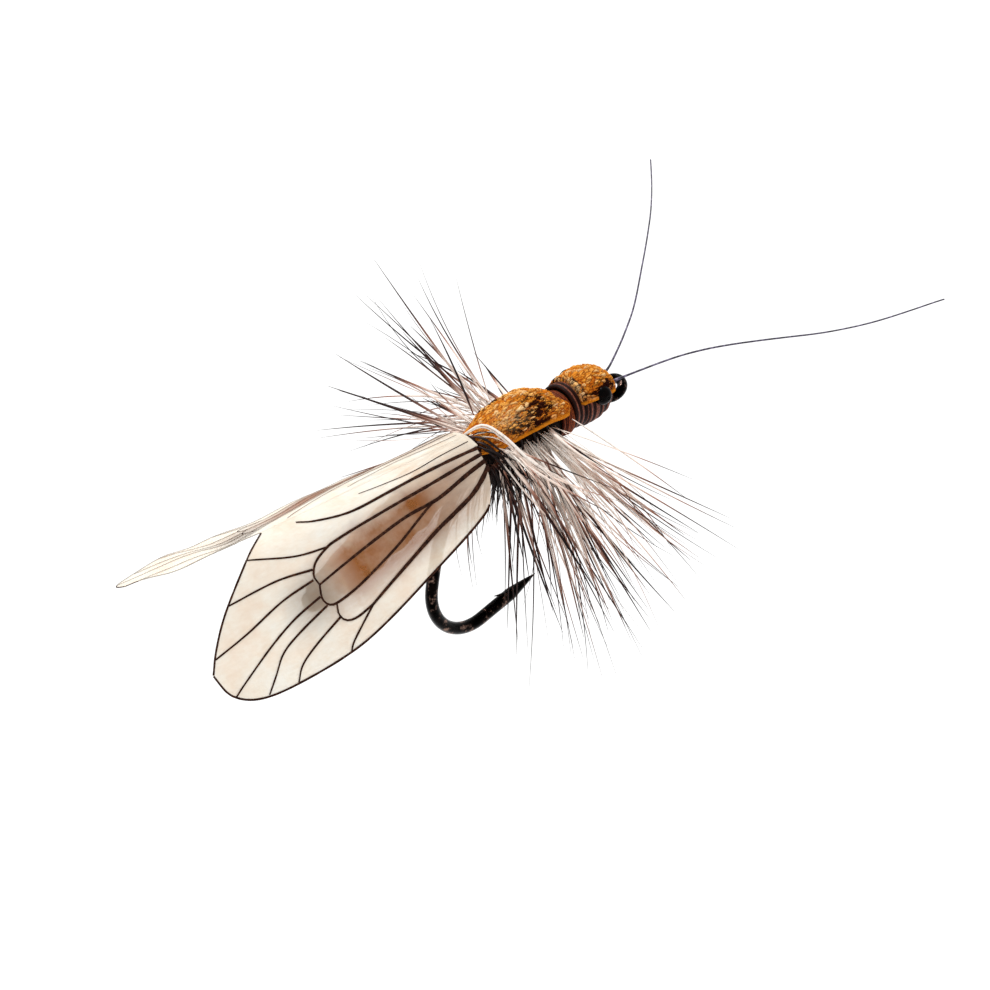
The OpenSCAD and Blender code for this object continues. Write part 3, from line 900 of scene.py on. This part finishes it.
def quill_root(x, elevation, side):
    """A point on the wound quill at x, elevation degrees over the horizontal on that side."""
    a = math.radians(elevation)
    return Vector((x, 0, THORAX_Z)) + Vector((0, side * math.cos(a), math.sin(a))) * (core_r(x) + 0.05)


def add_barb(build, root, way, bend, length, width, tone, sides=6, steps=13):
    """One barb: a flattened hair that bends and tapers to a fine tip."""
    points, radii, along = [], [], []
    for i in range(steps):
        t = i / (steps - 1)
        points.append(root + way * length * t + bend * length * t * t)
        radii.append(width * (0.45 + 0.55 * math.sin(math.pi * min(0.5, t * 2.2))) * (1 - 0.9 * t ** 2.2))
        along += [t] * sides
    ahead = (points[1] - points[0]).normalized()
    face = ahead.cross(bend) if bend.length > 0.01 else ahead.cross(Vector((0, 0, 1)))
    verts, faces = tube(points, radii, sides, flat=0.55, up=ahead.cross(face).normalized())
    build.add(verts, faces, along=along, tone=tone, under=undersides(len(verts), sides))


def undersides(count, sides):
    """1 along the lower side of a tube, falling to 0 at its edges."""
    return [max(0.0, -math.sin(2 * math.pi * (k % sides) / sides)) for k in range(count)]


def barb_way(side, elevation, lean):
    """The direction of a barb on that side; a positive lean points it forward."""
    up, ahead = math.radians(elevation), math.radians(lean)
    return Vector((math.sin(ahead), side * math.cos(ahead) * math.cos(up), math.cos(ahead) * math.sin(up)))


# Bunches: share of the quill (0 front, 1 rear), elevations, leans, lengths, tones, clumps, barbs
RIGHT_BUNCHES = (
    ((0.0, 0.35), (-34, -12), (4, 22), (5.0, 8.3), (0.5, 1.0), 6, 4),
    ((0.15, 0.6), (-54, -22), (-4, 18), (5.5, 8.4), (0.45, 1.0), 8, 4),
    ((0.35, 0.8), (-74, -42), (-10, 18), (6.0, 8.4), (0.3, 0.9), 8, 4),
    ((0.65, 1.0), (-88, -58), (-16, 8), (3.6, 7.6), (0.1, 0.6), 6, 3),
    ((0.05, 1.0), (-80, 0), (-18, 24), (1.8, 4.8), (0.4, 1.0), 9, 4),
)
LEFT_BUNCHES = (
    ((0.0, 0.5), (-24, 16), (-6, 14), (5.5, 8.2), (0.2, 0.8), 4, 3),
    ((0.3, 1.0), (-24, 22), (-20, 12), (6.5, 8.7), (0.2, 0.8), 5, 4),
    ((0.3, 1.0), (-56, -24), (-22, 8), (4.5, 7.5), (0.3, 0.9), 4, 3),
    ((0.3, 0.9), (10, 26), (-14, 10), (5.0, 7.8), (0.1, 0.7), 4, 2),
    ((0.2, 1.0), (-78, -30), (-16, 18), (5.0, 8.0), (0.3, 0.9), 8, 4),
    ((0.1, 1.0), (-60, 20), (-18, 24), (1.8, 4.6), (0.2, 0.8), 5, 4),
)


def hackle_fan(side, bunches, seed):
    rng = random.Random(seed)
    build = Build()
    x_front, x_rear = QUILL_HIGH.x - 0.05, QUILL_LOW.x + 0.05
    for share, elevations, leans, lengths, tones, clumps, barbs in bunches:
        for c in range(clumps):
            v = share[0] + (share[1] - share[0]) * (c + rng.random()) / clumps
            tilt = rng.uniform(*elevations)
            slant = rng.uniform(*leans)
            sweep = scatter(rng, 0.12, 0.05, 0.1) + Vector((0, 0, -0.04))
            for _ in range(barbs):
                elevation = tilt + rng.gauss(0, 6)
                way = barb_way(side, elevation, slant + rng.gauss(0, 6))
                x = x_front + (x_rear - x_front) * min(1, max(0, v + rng.gauss(0, 0.03)))
                root = quill_root(x, min(26, 0.5 * elevation + 22 + rng.gauss(0, 5)), side)
                bend = sweep + scatter(rng, 0.06, 0.05, 0.06)
                length = lengths[0] + (lengths[1] - lengths[0]) * rng.random() ** 0.8
                add_barb(build, root, way, bend, length, rng.uniform(0.034, 0.068), rng.uniform(*tones))
    return build


# Long single barbs that stand out of the fans: side, root, reach, bend, thickness and tone
LONG_BARBS = (
    (1, (-6.9, 0.7, 1.0), (0.1, 2.2, 3.4), (-0.3, 0.1, 0.1), 0.07, -0.2),
    (1, (-4.6, 0.9, 0.9), (0, 2.2, 1.1), (0, 0.1, 0.1), 0.045, 0.1),
    (1, (-7.4, 0.9, 0.5), (-1, 6.0, 1.1), (-0.2, 0, 0.4), 0.06, 0.3),
    (1, (-6.2, 0.9, 0.7), (-0.8, 5.2, 3.0), (0, 0, 0.5), 0.05, 0.35),
    (1, (-7.2, 0.9, 0.3), (-2.2, 5.4, -0.4), (0, 0, 0.3), 0.045, 0.2),
    (-1, (-3.1, -1.0, 0.1), (2.0, -4.6, -2.3), (0, 0, -0.3), 0.055, 0.8),
    (-1, (-4.0, -1.2, -0.6), (3.0, -7.2, -2.8), (0, 0, -0.3), 0.055, 0.6),
    (-1, (-6.6, -1.2, -1.0), (-1.2, -1.0, -6.2), (0, 0, 0), 0.05, 0.1),
    (-1, (-4.6, -1.3, -1.2), (0.7, -2.5, -6.2), (0.2, 0, 0), 0.06, 0.1),
    (-1, (-4.9, -1.3, -1.0), (1.2, -4.8, -4.2), (0, 0, -0.4), 0.06, 0.2),
)


def make_hackle():
    for side, name, seed, bunches in ((-1, "right_hackle", 61, RIGHT_BUNCHES),
                                      (1, "left_hackle", 62, LEFT_BUNCHES)):
        build = hackle_fan(side, bunches, seed)
        for barb_side, root, reach, bend, width, tone in LONG_BARBS:
            if barb_side == side:
                length = Vector(reach).length
                add_barb(build, Vector(root), Vector(reach) / length, Vector(bend) / length, length,
                         width, tone)
        build.fixed(name + "_barbs", HACKLE, RIGID, "hackle", name)


def make_trimmed_hackle():
    """Short dark barbs below the thorax, most of them at its rear."""
    rng = random.Random(77)
    build = Build()
    for i in range(230):
        rear = i % 5 < 3
        share = rng.uniform(0.62, 1.0) if rear else rng.uniform(0, 1)
        x = QUILL_HIGH.x - (QUILL_HIGH.x - QUILL_LOW.x) * share
        a = math.radians(rng.uniform(-165, -15) if rear else rng.uniform(-128, -52))
        way = (side_spoke(a) + Vector((rng.gauss(-0.1, 0.3), 0, 0))).normalized()
        root = Vector((x, 0, THORAX_Z)) + side_spoke(a) * (core_r(x) + 0.02)
        bend = scatter(rng, 0.12, 0.1).to_3d() + Vector((0, 0, -0.1))
        length = rng.uniform(0.8, 2.6) if rear else rng.uniform(0.6, 1.6)
        add_barb(build, root, way, bend, length, rng.uniform(0.035, 0.06), rng.uniform(-1.2, -0.2), steps=7)
    build.fixed("trimmed_barbs", HACKLE, RIGID, "hackle", "trimmed_hackle")


def make_quill():
    front, rear = QUILL_HIGH.x - 0.07, QUILL_LOW.x + 0.07
    points, ups = helix(front, rear, THORAX_Z, lambda v: core_r(front + (rear - front) * v) + 0.075,
                        0.72, 9)
    count = len(points)
    verts, faces = tube(points, [0.08 - 0.035 * i / count for i in range(count)], 10, flat=0.8, up=ups)
    build = Build()
    build.add(verts, faces, along=0.9, tone=0.2, under=0.3)
    build.fixed("quill_winding", HACKLE, RIGID, "hackle", "hackle_quill")


# Soft barbs that curl forward over the rear of the thorax from the tie-in: route, thickness, tone
STRAYS = (
    (((-7.95, 0.27, 0.62), (-7.3, -0.26, 1.06), (-6.98, -1.2, 0.75), (-6.64, -2.3, 0.0),
      (-5.94, -3.3, -0.67), (-4.57, -5.0, -2.05)), 0.08, 0.85),
    (((-7.95, 0.24, 0.6), (-7.32, -0.3, 0.98), (-7.0, -1.24, 0.6), (-6.7, -2.2, -0.15),
      (-6.1, -3.1, -0.9), (-5.2, -4.3, -1.9)), 0.055, 0.7),
    (((-7.95, 0.2, 0.58), (-7.24, -0.6, 0.85), (-6.9, -1.05, 0.66), (-6.6, -1.5, 0.3)), 0.028, 0.85),
    (((-7.9, 0.1, 0.5), (-7.3, -0.7, 0.68), (-6.9, -1.25, 0.42), (-6.6, -1.65, 0.0)), 0.024, 0.85),
    (((-7.3, -0.9, 0.3), (-6.8, -1.7, 0.1), (-6.2, -2.8, -0.6), (-5.2, -4.1, -1.2),
      (-4.2, -5.3, -1.7)), 0.05, 0.7),
    (((-7.5, -0.8, 0.1), (-7.2, -1.4, -0.4), (-6.9, -2.2, -1.3), (-6.4, -3.1, -2.4),
      (-6.1, -4.0, -3.5)), 0.05, 0.7),
    (((-7.2, 0.3, -0.9), (-7.9, 0.45, -2.6), (-8.05, 0.5, -4.45), (-7.6, 0.5, -6.4)), 0.026, 0.2),
    (((-7.95, 0.2, 0.56), (-7.58, -0.5, 0.66), (-7.32, -1.2, 0.32), (-7.0, -1.9, -0.25)), 0.07, -0.9),
    (((-7.95, 0.1, 0.44), (-7.64, -0.7, 0.48), (-7.38, -1.35, 0.05), (-7.05, -2.0, -0.55)), 0.08, -0.9),
    (((-7.9, 0.0, 0.4), (-7.68, -0.85, 0.3), (-7.45, -1.45, -0.15), (-7.3, -1.9, -0.8)), 0.09, -0.9),
    (((-7.9, 0.1, 0.5), (-7.5, -0.3, 0.82), (-7.1, -0.9, 0.8), (-6.75, -1.3, 0.52)), 0.028, -0.9),
    (((-7.9, -0.1, 0.4), (-7.6, -1.0, 0.3), (-7.2, -1.55, 0.05), (-6.8, -1.95, -0.2)), 0.07, -0.9),
)


def make_strays():
    build = Build()
    steps, sides = 34, 8
    shares = [k / (steps - 1) for k in range(steps)]
    for route, width, tone in STRAYS:
        radii = [width * (0.25 + 0.75 * math.sin(math.pi * t ** 0.8)) * (1 - 0.8 * t ** 4) for t in shares]
        verts, faces = tube(spline(route, steps), radii, sides, flat=0.5, up=Vector((0, -0.6, 0.8)))
        build.add(verts, faces, along=[0.8 * t for t in shares for _ in range(sides)], tone=tone,
                  under=[0.6 * under for under in undersides(len(verts), sides)])
    build.fixed("stray_barbs", HACKLE, RIGID, "hackle", "stray_hackle")


def make_dubbing_fuzz():
    """Loose fibres that stand out of the dubbed thorax, mostly below."""
    rng = random.Random(55)
    build = Build()
    for _ in range(420):
        x = rng.uniform(THORAX_LOW.x + 0.25, THORAX_HIGH.x + 0.2)
        out = side_spoke(math.radians(rng.uniform(-200, 20)))
        root = Vector((x, 0, THORAX_Z)) + out * (core_r(x) - 0.02)
        way = (out + scatter(rng, 0.8, 0.5, 0.5)).normalized()
        bend = scatter(rng, 0.4, 0.4, 0.4)
        add_barb(build, root, way, bend, rng.uniform(0.18, 0.5), rng.uniform(0.012, 0.022), 0, sides=5,
                 steps=5)
    build.fixed("dubbing_fibres", DUBBING, RIGID, "dark_dubbing")


# ---------------------------------------------------------------- wings

# A point of the film is named by s, how far back it is from the tie-in, and t, how far out from
# the ridge, both measured on the film as it lay flat.
WING_X = -7.6
WING_Z = 0.74
WING_PITCH = math.radians(1.6)
FILM_HALF = 0.014  # half its thickness
NOTCH = 11.6
WING_END = 17.15
WING_START = 0.55
TURN_T = 1.6  # the film turns down from the ridge over this width
LEFT_REACH = 0.9  # the left leaf is shorter by this factor
# The film's outline: its lower margin, and its rear from the notch at the ridge to the corner
CORNER = (WING_END, 4.45)
MARGIN = ((WING_START, 1.35), (0.68, 2.05), (1.05, 2.75), (1.8, 3.4), (5, 4.5), (9.5, 5.82), (13.4, 6.2),
          (15.5, 6.12), (16.75, 5.5), CORNER)
REAR = ((NOTCH, 0), (13.1, 0.84), (15.1, 2.3), (16.4, 3.55), CORNER)


def lookup(points):
    """A function of s through these (s, t) points."""
    path = spline([(s, t, 0) for s, t in points], 160)
    s = [p.x for p in path]
    t = [p.y for p in path]
    return lambda v: float(np.interp(v, s, t))


margin_t = lookup(MARGIN)
rear_t = lookup(REAR)

# stations of s and t at which the folded shape is worked out
S_STEPS = np.linspace(0, 18, 73)
T_STEPS = np.linspace(0, 7, 281)


def fold_angles(side, s):
    """How steeply the film falls away from the ridge, in degrees, at every t step of station s."""
    turn = np.clip(T_STEPS / TURN_T, 0, 1)
    turn = turn * turn * (3 - 2 * turn)
    if side < 0:
        top = np.interp(s, (0, 8, NOTCH), (10, 10, 16))
        return top + (50 - top) * turn
    top = np.interp(s, (0, 6, NOTCH), (5, 8, 32))
    lift = np.interp(s, (0, 3, 5, 10.5, 13, 15.2, 17.2), (0, 0.5, 2.5, 8, 10.5, 10, 8))
    out = np.clip((T_STEPS - 2) / 1.2, 0, 1)
    return top + (36.5 - top) * turn - lift * out * out * (3 - 2 * out)


def fold_table(side):
    """How far out and down each (s, t) station of the folded film is."""
    angles = np.radians([fold_angles(side, s) for s in S_STEPS])
    angles = (angles[:, 1:] + angles[:, :-1]) / 2
    start = np.zeros((len(S_STEPS), 1))
    step = T_STEPS[1]
    return (np.hstack([start, np.cumsum(np.cos(angles), axis=1) * step]),
            np.hstack([start, np.cumsum(np.sin(angles), axis=1) * step]))


FOLDS = {side: fold_table(side) for side in (-1, 1)}


def between(table, s, t):
    """The table's number at (s, t), by steps of both."""
    i = min(max(s / S_STEPS[1], 0), len(S_STEPS) - 1.001)
    k = min(max(t / T_STEPS[1], 0), len(T_STEPS) - 1.001)
    i0, k0 = int(i), int(k)
    a, b = i - i0, k - k0
    return ((table[i0, k0] * (1 - b) + table[i0, k0 + 1] * b) * (1 - a)
            + (table[i0 + 1, k0] * (1 - b) + table[i0 + 1, k0 + 1] * b) * a)


def on_film(side, s, t):
    """Where the film's point (s back from the root, t out from the ridge) lies when folded."""
    out = between(FOLDS[side][0], s, t)
    down = between(FOLDS[side][1], s, t)
    reach = 1 if side < 0 else 1 - (1 - LEFT_REACH) * min(1, t / 4) * min(1, s / 6)
    free = smooth_step(t / 4)
    wave = free * (0.05 * math.sin(0.62 * s + 0.9 * t + side) + 0.03 * math.sin(1.9 * s + side))
    return Vector((WING_X - s * reach, side * (out + wave * 0.6),
                   WING_Z - s * reach * math.tan(WING_PITCH) - down + wave * 0.7))


def film_normal(side, s, t):
    ds = on_film(side, s + 0.05, t) - on_film(side, s - 0.05, t)
    dt = on_film(side, s, t + 0.05) - on_film(side, s, max(0, t - 0.05))
    normal = ds.cross(dt)
    normal.normalize()
    return normal if normal.z > 0 else -normal


def film_half(side):
    """One half of the folded film."""
    rows, columns = 190, 58
    top, bottom, s_values, t_values = [], [], [], []
    for i in range(rows):
        s = WING_START + (WING_END - WING_START) * (0.5 - 0.5 * math.cos(math.pi * i / (rows - 1)))
        t_low = 0 if s <= NOTCH else rear_t(s)
        for t in np.linspace(t_low, margin_t(s), columns):
            p, n = on_film(side, s, t), film_normal(side, s, t)
            top.append(p + n * FILM_HALF)
            bottom.append(p - n * FILM_HALF)
            s_values.append(s)
            t_values.append(t)
    faces = sheet(rows, columns)
    if side < 0:
        faces = [face[::-1] for face in faces]
    build = Build()
    build.add(top + bottom, faces, film_s=s_values * 2, film_t=t_values * 2)
    return build


# The main veins of one half, each as (s, t) points and a width at its root and at its end
VEINS = (
    (((0.6, 0.34), (2.2, 0.4), (3.8, 0.52), (5.4, 0.46), (6.6, 0.36)), 0.08, 0.05),
    (((0.5, 0.8), (1.6, 0.78), (3.4, 0.8), (5.4, 0.88), (7.6, 0.94), (9.2, 0.63), (9.95, 0.3)), 0.2, 0.12),
    (((0.5, 1.1), (3.4, 1.32), (6.1, 1.49), (8.7, 1.7), (9.4, 1.82), (10.2, 2.15), (10.58, 2.6),
      (10.52, 3.0)), 0.2, 0.14),
    (((9.4, 1.8), (11.0, 1.57), (13.12, 0.88)), 0.13, 0.1),
    (((0.5, 1.4), (1.6, 1.6), (2.9, 1.88), (3.7, 2.0), (5.6, 2.12), (8.9, 2.7), (10.52, 3.02)), 0.26, 0.13),
    (((3.7, 2.0), (4.4, 2.25), (5.9, 2.85), (7.2, 3.28), (8.8, 3.74), (10.0, 3.95), (10.5, 3.9),
      (10.7, 3.55), (10.52, 3.02)), 0.16, 0.14),
    (((0.5, 1.65), (1.1, 2.05), (1.9, 2.44), (3.0, 2.77), (4.2, 3.11), (5.9, 3.7), (7.4, 4.22),
      (8.6, 4.65)), 0.3, 0.16),
    (((8.6, 4.65), (9.5, 4.82), (10.05, 4.75), (10.28, 4.43), (10.15, 3.98)), 0.14, 0.12),
    (((8.6, 4.65), (9.3, 5.08), (10.2, 5.65), (10.5, 5.95)), 0.13, 0.11),
    (((10.5, 2.36), (12.4, 2.14), (14.98, 2.22)), 0.14, 0.1),
    (((10.7, 2.75), (12.5, 2.97), (14.7, 3.53), (16.66, 3.92)), 0.14, 0.1),
    (((10.75, 3.46), (12.3, 3.81), (14.0, 4.43), (15.8, 5.23), (16.6, 5.62)), 0.14, 0.1),
    (((10.6, 3.88), (12.3, 4.36), (13.5, 4.83), (14.35, 5.5), (15.1, 6.1)), 0.14, 0.1),
    (((10.2, 4.5), (11.8, 5.06), (12.9, 5.57), (13.5, 6.14)), 0.14, 0.1),
)


def vein_strip(build, side, route, width_start, width_end):
    """A raised printed line that follows the film and stands a little out of both its faces."""
    length = sum(math.dist(a, b) for a, b in zip(route, route[1:]))
    count = max(6, int(length / 0.16))
    points, ups, radii = [], [], []
    for i, p in enumerate(spline([(s, t, 0) for s, t in route], count)):
        t = max(0.0, p.y)
        points.append(on_film(side, p.x, t))
        ups.append(film_normal(side, p.x, t))
        ink = 1 + 0.16 * noise.noise(Vector((p.x * 2.2, p.y * 2.2, side)))
        radii.append((width_start + (width_end - width_start) * i / (count - 1)) / 2 * ink)
    raised = FILM_HALF + 0.005
    sides = 8
    verts = []
    for i, p in enumerate(points):
        ahead = (points[min(i + 1, count - 1)] - points[max(i - 1, 0)]).normalized()
        across = ahead.cross(ups[i]).normalized()
        for k in range(sides):
            a = 2 * math.pi * (k + 0.5) / sides
            verts.append(p + across * math.cos(a) * radii[i] * 1.08 + ups[i] * math.sin(a) * raised * 1.08)
    build.add(verts, skin(count, sides))


def bend_with_leaf(obj):
    """Bakes the piece's placement into its mesh."""
    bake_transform(obj)


def make_wings():
    for side, node, leaf in ((-1, "right_wing", "right_leaf"), (1, "left_wing", "left_leaf")):
        film = film_half(side).piece(node + "_film", FILM)
        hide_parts(node)
        bend_with_leaf(film)
        build = Build()
        fine = 1 if side < 0 else 0.62
        for route, start, end in VEINS:
            vein_strip(build, side, route, start * fine, end * fine)
        edge = 0.1 if side < 0 else 0.055
        margin = [(s, margin_t(s) - 0.03) for s in np.linspace(1.3, WING_END - 0.02, 90)]
        rear = [(s, rear_t(s) + 0.04) for s in np.linspace(NOTCH, WING_END - 0.03, 40)]
        vein_strip(build, side, margin, edge * 1.2, edge)
        vein_strip(build, side, rear, edge * 0.9, edge)
        veins = build.piece(node + "_veins", VEIN)
        bend_with_leaf(veins)


def make_wing_tab():
    """The film's narrow root, which goes forward under the end of the thorax cover."""
    rows, columns = 40, 31
    root_high = box_mm("wing_root")[1]
    x_front, x_rear = root_high.x - 0.05, WING_X - WING_START - 0.2
    half_turn, half_width = 0.5, 0.7
    lift = Vector((0, 0, FILM_HALF))
    middle = []
    for i in range(rows):
        x = x_front + (x_rear - x_front) * i / (rows - 1)
        emerge = smooth_step((WING_X - 0.1 - x) / 0.3)
        for k in range(columns):
            w = -1 + 2 * k / (columns - 1)
            under = Vector((x, 0, THORAX_Z)) + spoke(w * half_turn) * (core_r(x) + 0.08)
            on_wing = on_film(1 if w >= 0 else -1, max(0.2, WING_X - x), abs(w) * half_width)
            on_wing.x = x
            middle.append(under.lerp(on_wing, emerge))
    build = Build()
    build.add([p + lift for p in middle] + [p - lift for p in middle], sheet(rows, columns))
    tab = build.piece("wing_tab_film", FILM)
    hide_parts("wing_root", "wing_ridge")
    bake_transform(tab)


def make_wing_windings():
    """The thread that ties the film down: a dark saddle behind the foam."""
    build = Build()
    rng = random.Random(31)
    turns = 12
    for k in range(turns):
        v = (k + 0.5) / turns
        x = THORAX_LOW.x + 0.22 - 0.62 * v
        reach = math.radians(118 - 16 * v + rng.uniform(-6, 6))
        points, ups = [], []
        for i in range(37):
            a = (i / 18 - 1) * reach
            radius = 0.5 + 0.27 * math.sin(math.pi * min(1, v * 1.25)) ** 0.7 * math.cos(a * 0.6)
            lean = 0.1 * math.sin(a * 1.5 + rng.uniform(-0.1, 0.1)) * (1 if k % 2 else -1)
            points.append(Vector((x + lean, 0, THORAX_Z + 0.02)) + spoke(a) * radius)
            ups.append(spoke(a))
        build.add(*tube(points, 0.045, 8, flat=0.8, up=ups))
    build.fixed("wing_windings", DARK_THREAD, RIGID, "dark_thread", "wing_thread")


# ---------------------------------------------------------------- abdomen

ABDOMEN_LEN = 9.2
ABDOMEN_R = 0.95
SEGMENTS = 7
DROOP = math.radians(22.5)
STUB_LOW, STUB_HIGH = box_mm("abdomen_stub")
ABDOMEN_START = Vector((STUB_LOW.x - 0.06, 0, (STUB_LOW.z + STUB_HIGH.z) / 2))
ABDOMEN_BACK = Vector((-math.cos(DROOP), 0, -math.sin(DROOP)))
ABDOMEN_UP = Vector((-math.sin(DROOP), 0, math.cos(DROOP)))


def abdomen_env(u):
    """The abdomen's largest radius at share u of its length."""
    return (ABDOMEN_R * (0.3 + 0.7 * math.sin(math.pi / 2 * min(1, u / 0.24)) ** 1.2)
            * (1 - 0.42 * max(0.0, (u - 0.5) / 0.5) ** 2))


def segment_bulge(u):
    """0 in the creases between the segments and 1 in the middle of each."""
    v = u * SEGMENTS - math.floor(u * SEGMENTS)
    return math.sin(math.pi * v) ** 0.55 if 0 < v < 1 else 0


def room_for_bend(u, angle):
    """How much the underside is pared near the root, where the hook's bend passes close below."""
    return 0.14 * smooth_step((-math.cos(angle) - 0.2) / 0.6) * smooth_step((0.34 - u) / 0.1)


def abdomen_point(s, angle, radius):
    """angle 0 is the top of the abdomen; s runs back along its drooping line."""
    out = ABDOMEN_UP * math.cos(angle) + Vector((0, 1, 0)) * math.sin(angle)
    return ABDOMEN_START + ABDOMEN_BACK * s + out * radius


def make_abdomen_foam():
    rows, columns = 301, 96
    verts = []
    numbers = {key: [] for key in ("pebble", "under", "crease", "along")}
    for i in range(rows):
        s = 0.2 + (ABDOMEN_LEN - 0.2) * i / (rows - 1)
        u = s / ABDOMEN_LEN
        bulge = segment_bulge(u)
        end = math.sqrt(max(0, min(1, (ABDOMEN_LEN - s) / 0.25)))
        for k in range(columns):
            angle = 2 * math.pi * k / columns
            radius = abdomen_env(u) * (0.86 + 0.14 * bulge) * (0.55 + 0.45 * end)
            radius -= room_for_bend(u, angle)
            height, number, groove = pebbles(abdomen_point(s, angle, radius), 31, 0.8, 5.0)
            pleat = 0.02 * math.sin(11 * angle + 3 * math.floor(u * SEGMENTS)) * (1 - bulge)
            radius += height * 0.55 * min(1, radius) + pleat - 0.02
            verts.append(abdomen_point(s, angle, radius))
            # the crease number is painted as shade by the abdomen material
            values = (number * 0.6 + groove * 0.4, smooth_step(0.5 - math.cos(angle)),
                      (1 - bulge) ** 2 * 0.7, u)
            for kept, value in zip(numbers.values(), values):
                kept.append(value)
    build = Build()
    build.add(verts, skin(rows, columns, clockwise=False), **numbers)
    build.fixed("abdomen_segments", ABDOMEN_FOAM, "abdomen", "abdomen_foam", "abdomen_foam")


def ribbing_route(n):
    """(s, angle, radius) along the thread: three turns in crease n, then a strand to the next."""
    route = []
    crease = n * ABDOMEN_LEN / SEGMENTS
    half_band, turns, per_turn = 0.075, 3, 40
    radius = abdomen_env(n / SEGMENTS) * 0.86 + 0.03
    for i in range(turns * per_turn + 1):
        angle = 2 * math.pi * i / per_turn + math.pi
        s = crease - half_band + 2 * half_band * i / (turns * per_turn)
        route.append((s, angle, radius - room_for_bend(n / SEGMENTS, angle)))
    if n < SEGMENTS - 1:
        for i in range(1, 16):
            q = i / 16
            s = crease + half_band + (ABDOMEN_LEN / SEGMENTS - 2 * half_band) * q
            u = s / ABDOMEN_LEN
            radius = abdomen_env(u) * (0.86 + 0.14 * segment_bulge(u)) + 0.03
            angle = math.pi + 0.5 * math.sin(math.pi * q)
            route.append((s, angle, radius - room_for_bend(u, math.pi)))
    return route


def make_ribbing():
    build = Build()
    for n in range(1, SEGMENTS):
        route = ribbing_route(n)
        points = [abdomen_point(*place) for place in route]
        ups = [(p - abdomen_point(place[0], 0, 0)).normalized() for p, place in zip(points, route)]
        build.add(*tube(points, 0.045, 8, flat=0.8, up=ups))
    build.fixed("ribbing_thread", RIB_THREAD, "abdomen", "rib_thread", "abdomen_ribbing")


def make_singed_tip():
    rows, columns = 26, 40
    verts = []
    for i in range(rows):
        v = i / (rows - 1)
        s = ABDOMEN_LEN - 0.1 + 0.5 * v
        for k in range(columns):
            angle = 2 * math.pi * k / columns
            radius = 0.44 * math.sqrt(max(0.003, 1 - v ** 1.8)) * (1 + 0.14 * math.cos(5 * angle) * v)
            lump = 1 + 0.16 * noise.noise(abdomen_point(s, angle, radius) * 5)
            verts.append(abdomen_point(s, angle, radius * lump))
    build = Build()
    build.add(verts, skin(rows, columns, clockwise=False))
    build.fixed("singed_tip", DUBBING, "abdomen", "dark_thread", "abdomen_tip")


# ---------------------------------------------------------------- carried-over CAD nodes

def dress_cad_nodes():
    looks = {
        "shank_thread": DARK_THREAD, "head_core": DUBBING, "eye_bar": NICKEL, "thorax_core": DUBBING,
        "abdomen_stub": MONO, "abdomen_core": MONO,
    }
    for node, material in looks.items():
        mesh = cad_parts[node].data
        mesh.materials.clear()
        mesh.materials.append(material)


for make in (make_camera, make_studio, make_hook, make_wraps, make_thorax_cover, make_head_cover,
             make_beads, make_cement, make_antennae, make_hackle, make_trimmed_hackle, make_quill,
             make_strays, make_dubbing_fuzz, make_wings, make_wing_tab, make_wing_windings,
             make_abdomen_foam, make_ribbing, make_singed_tip, dress_cad_nodes):
    make()
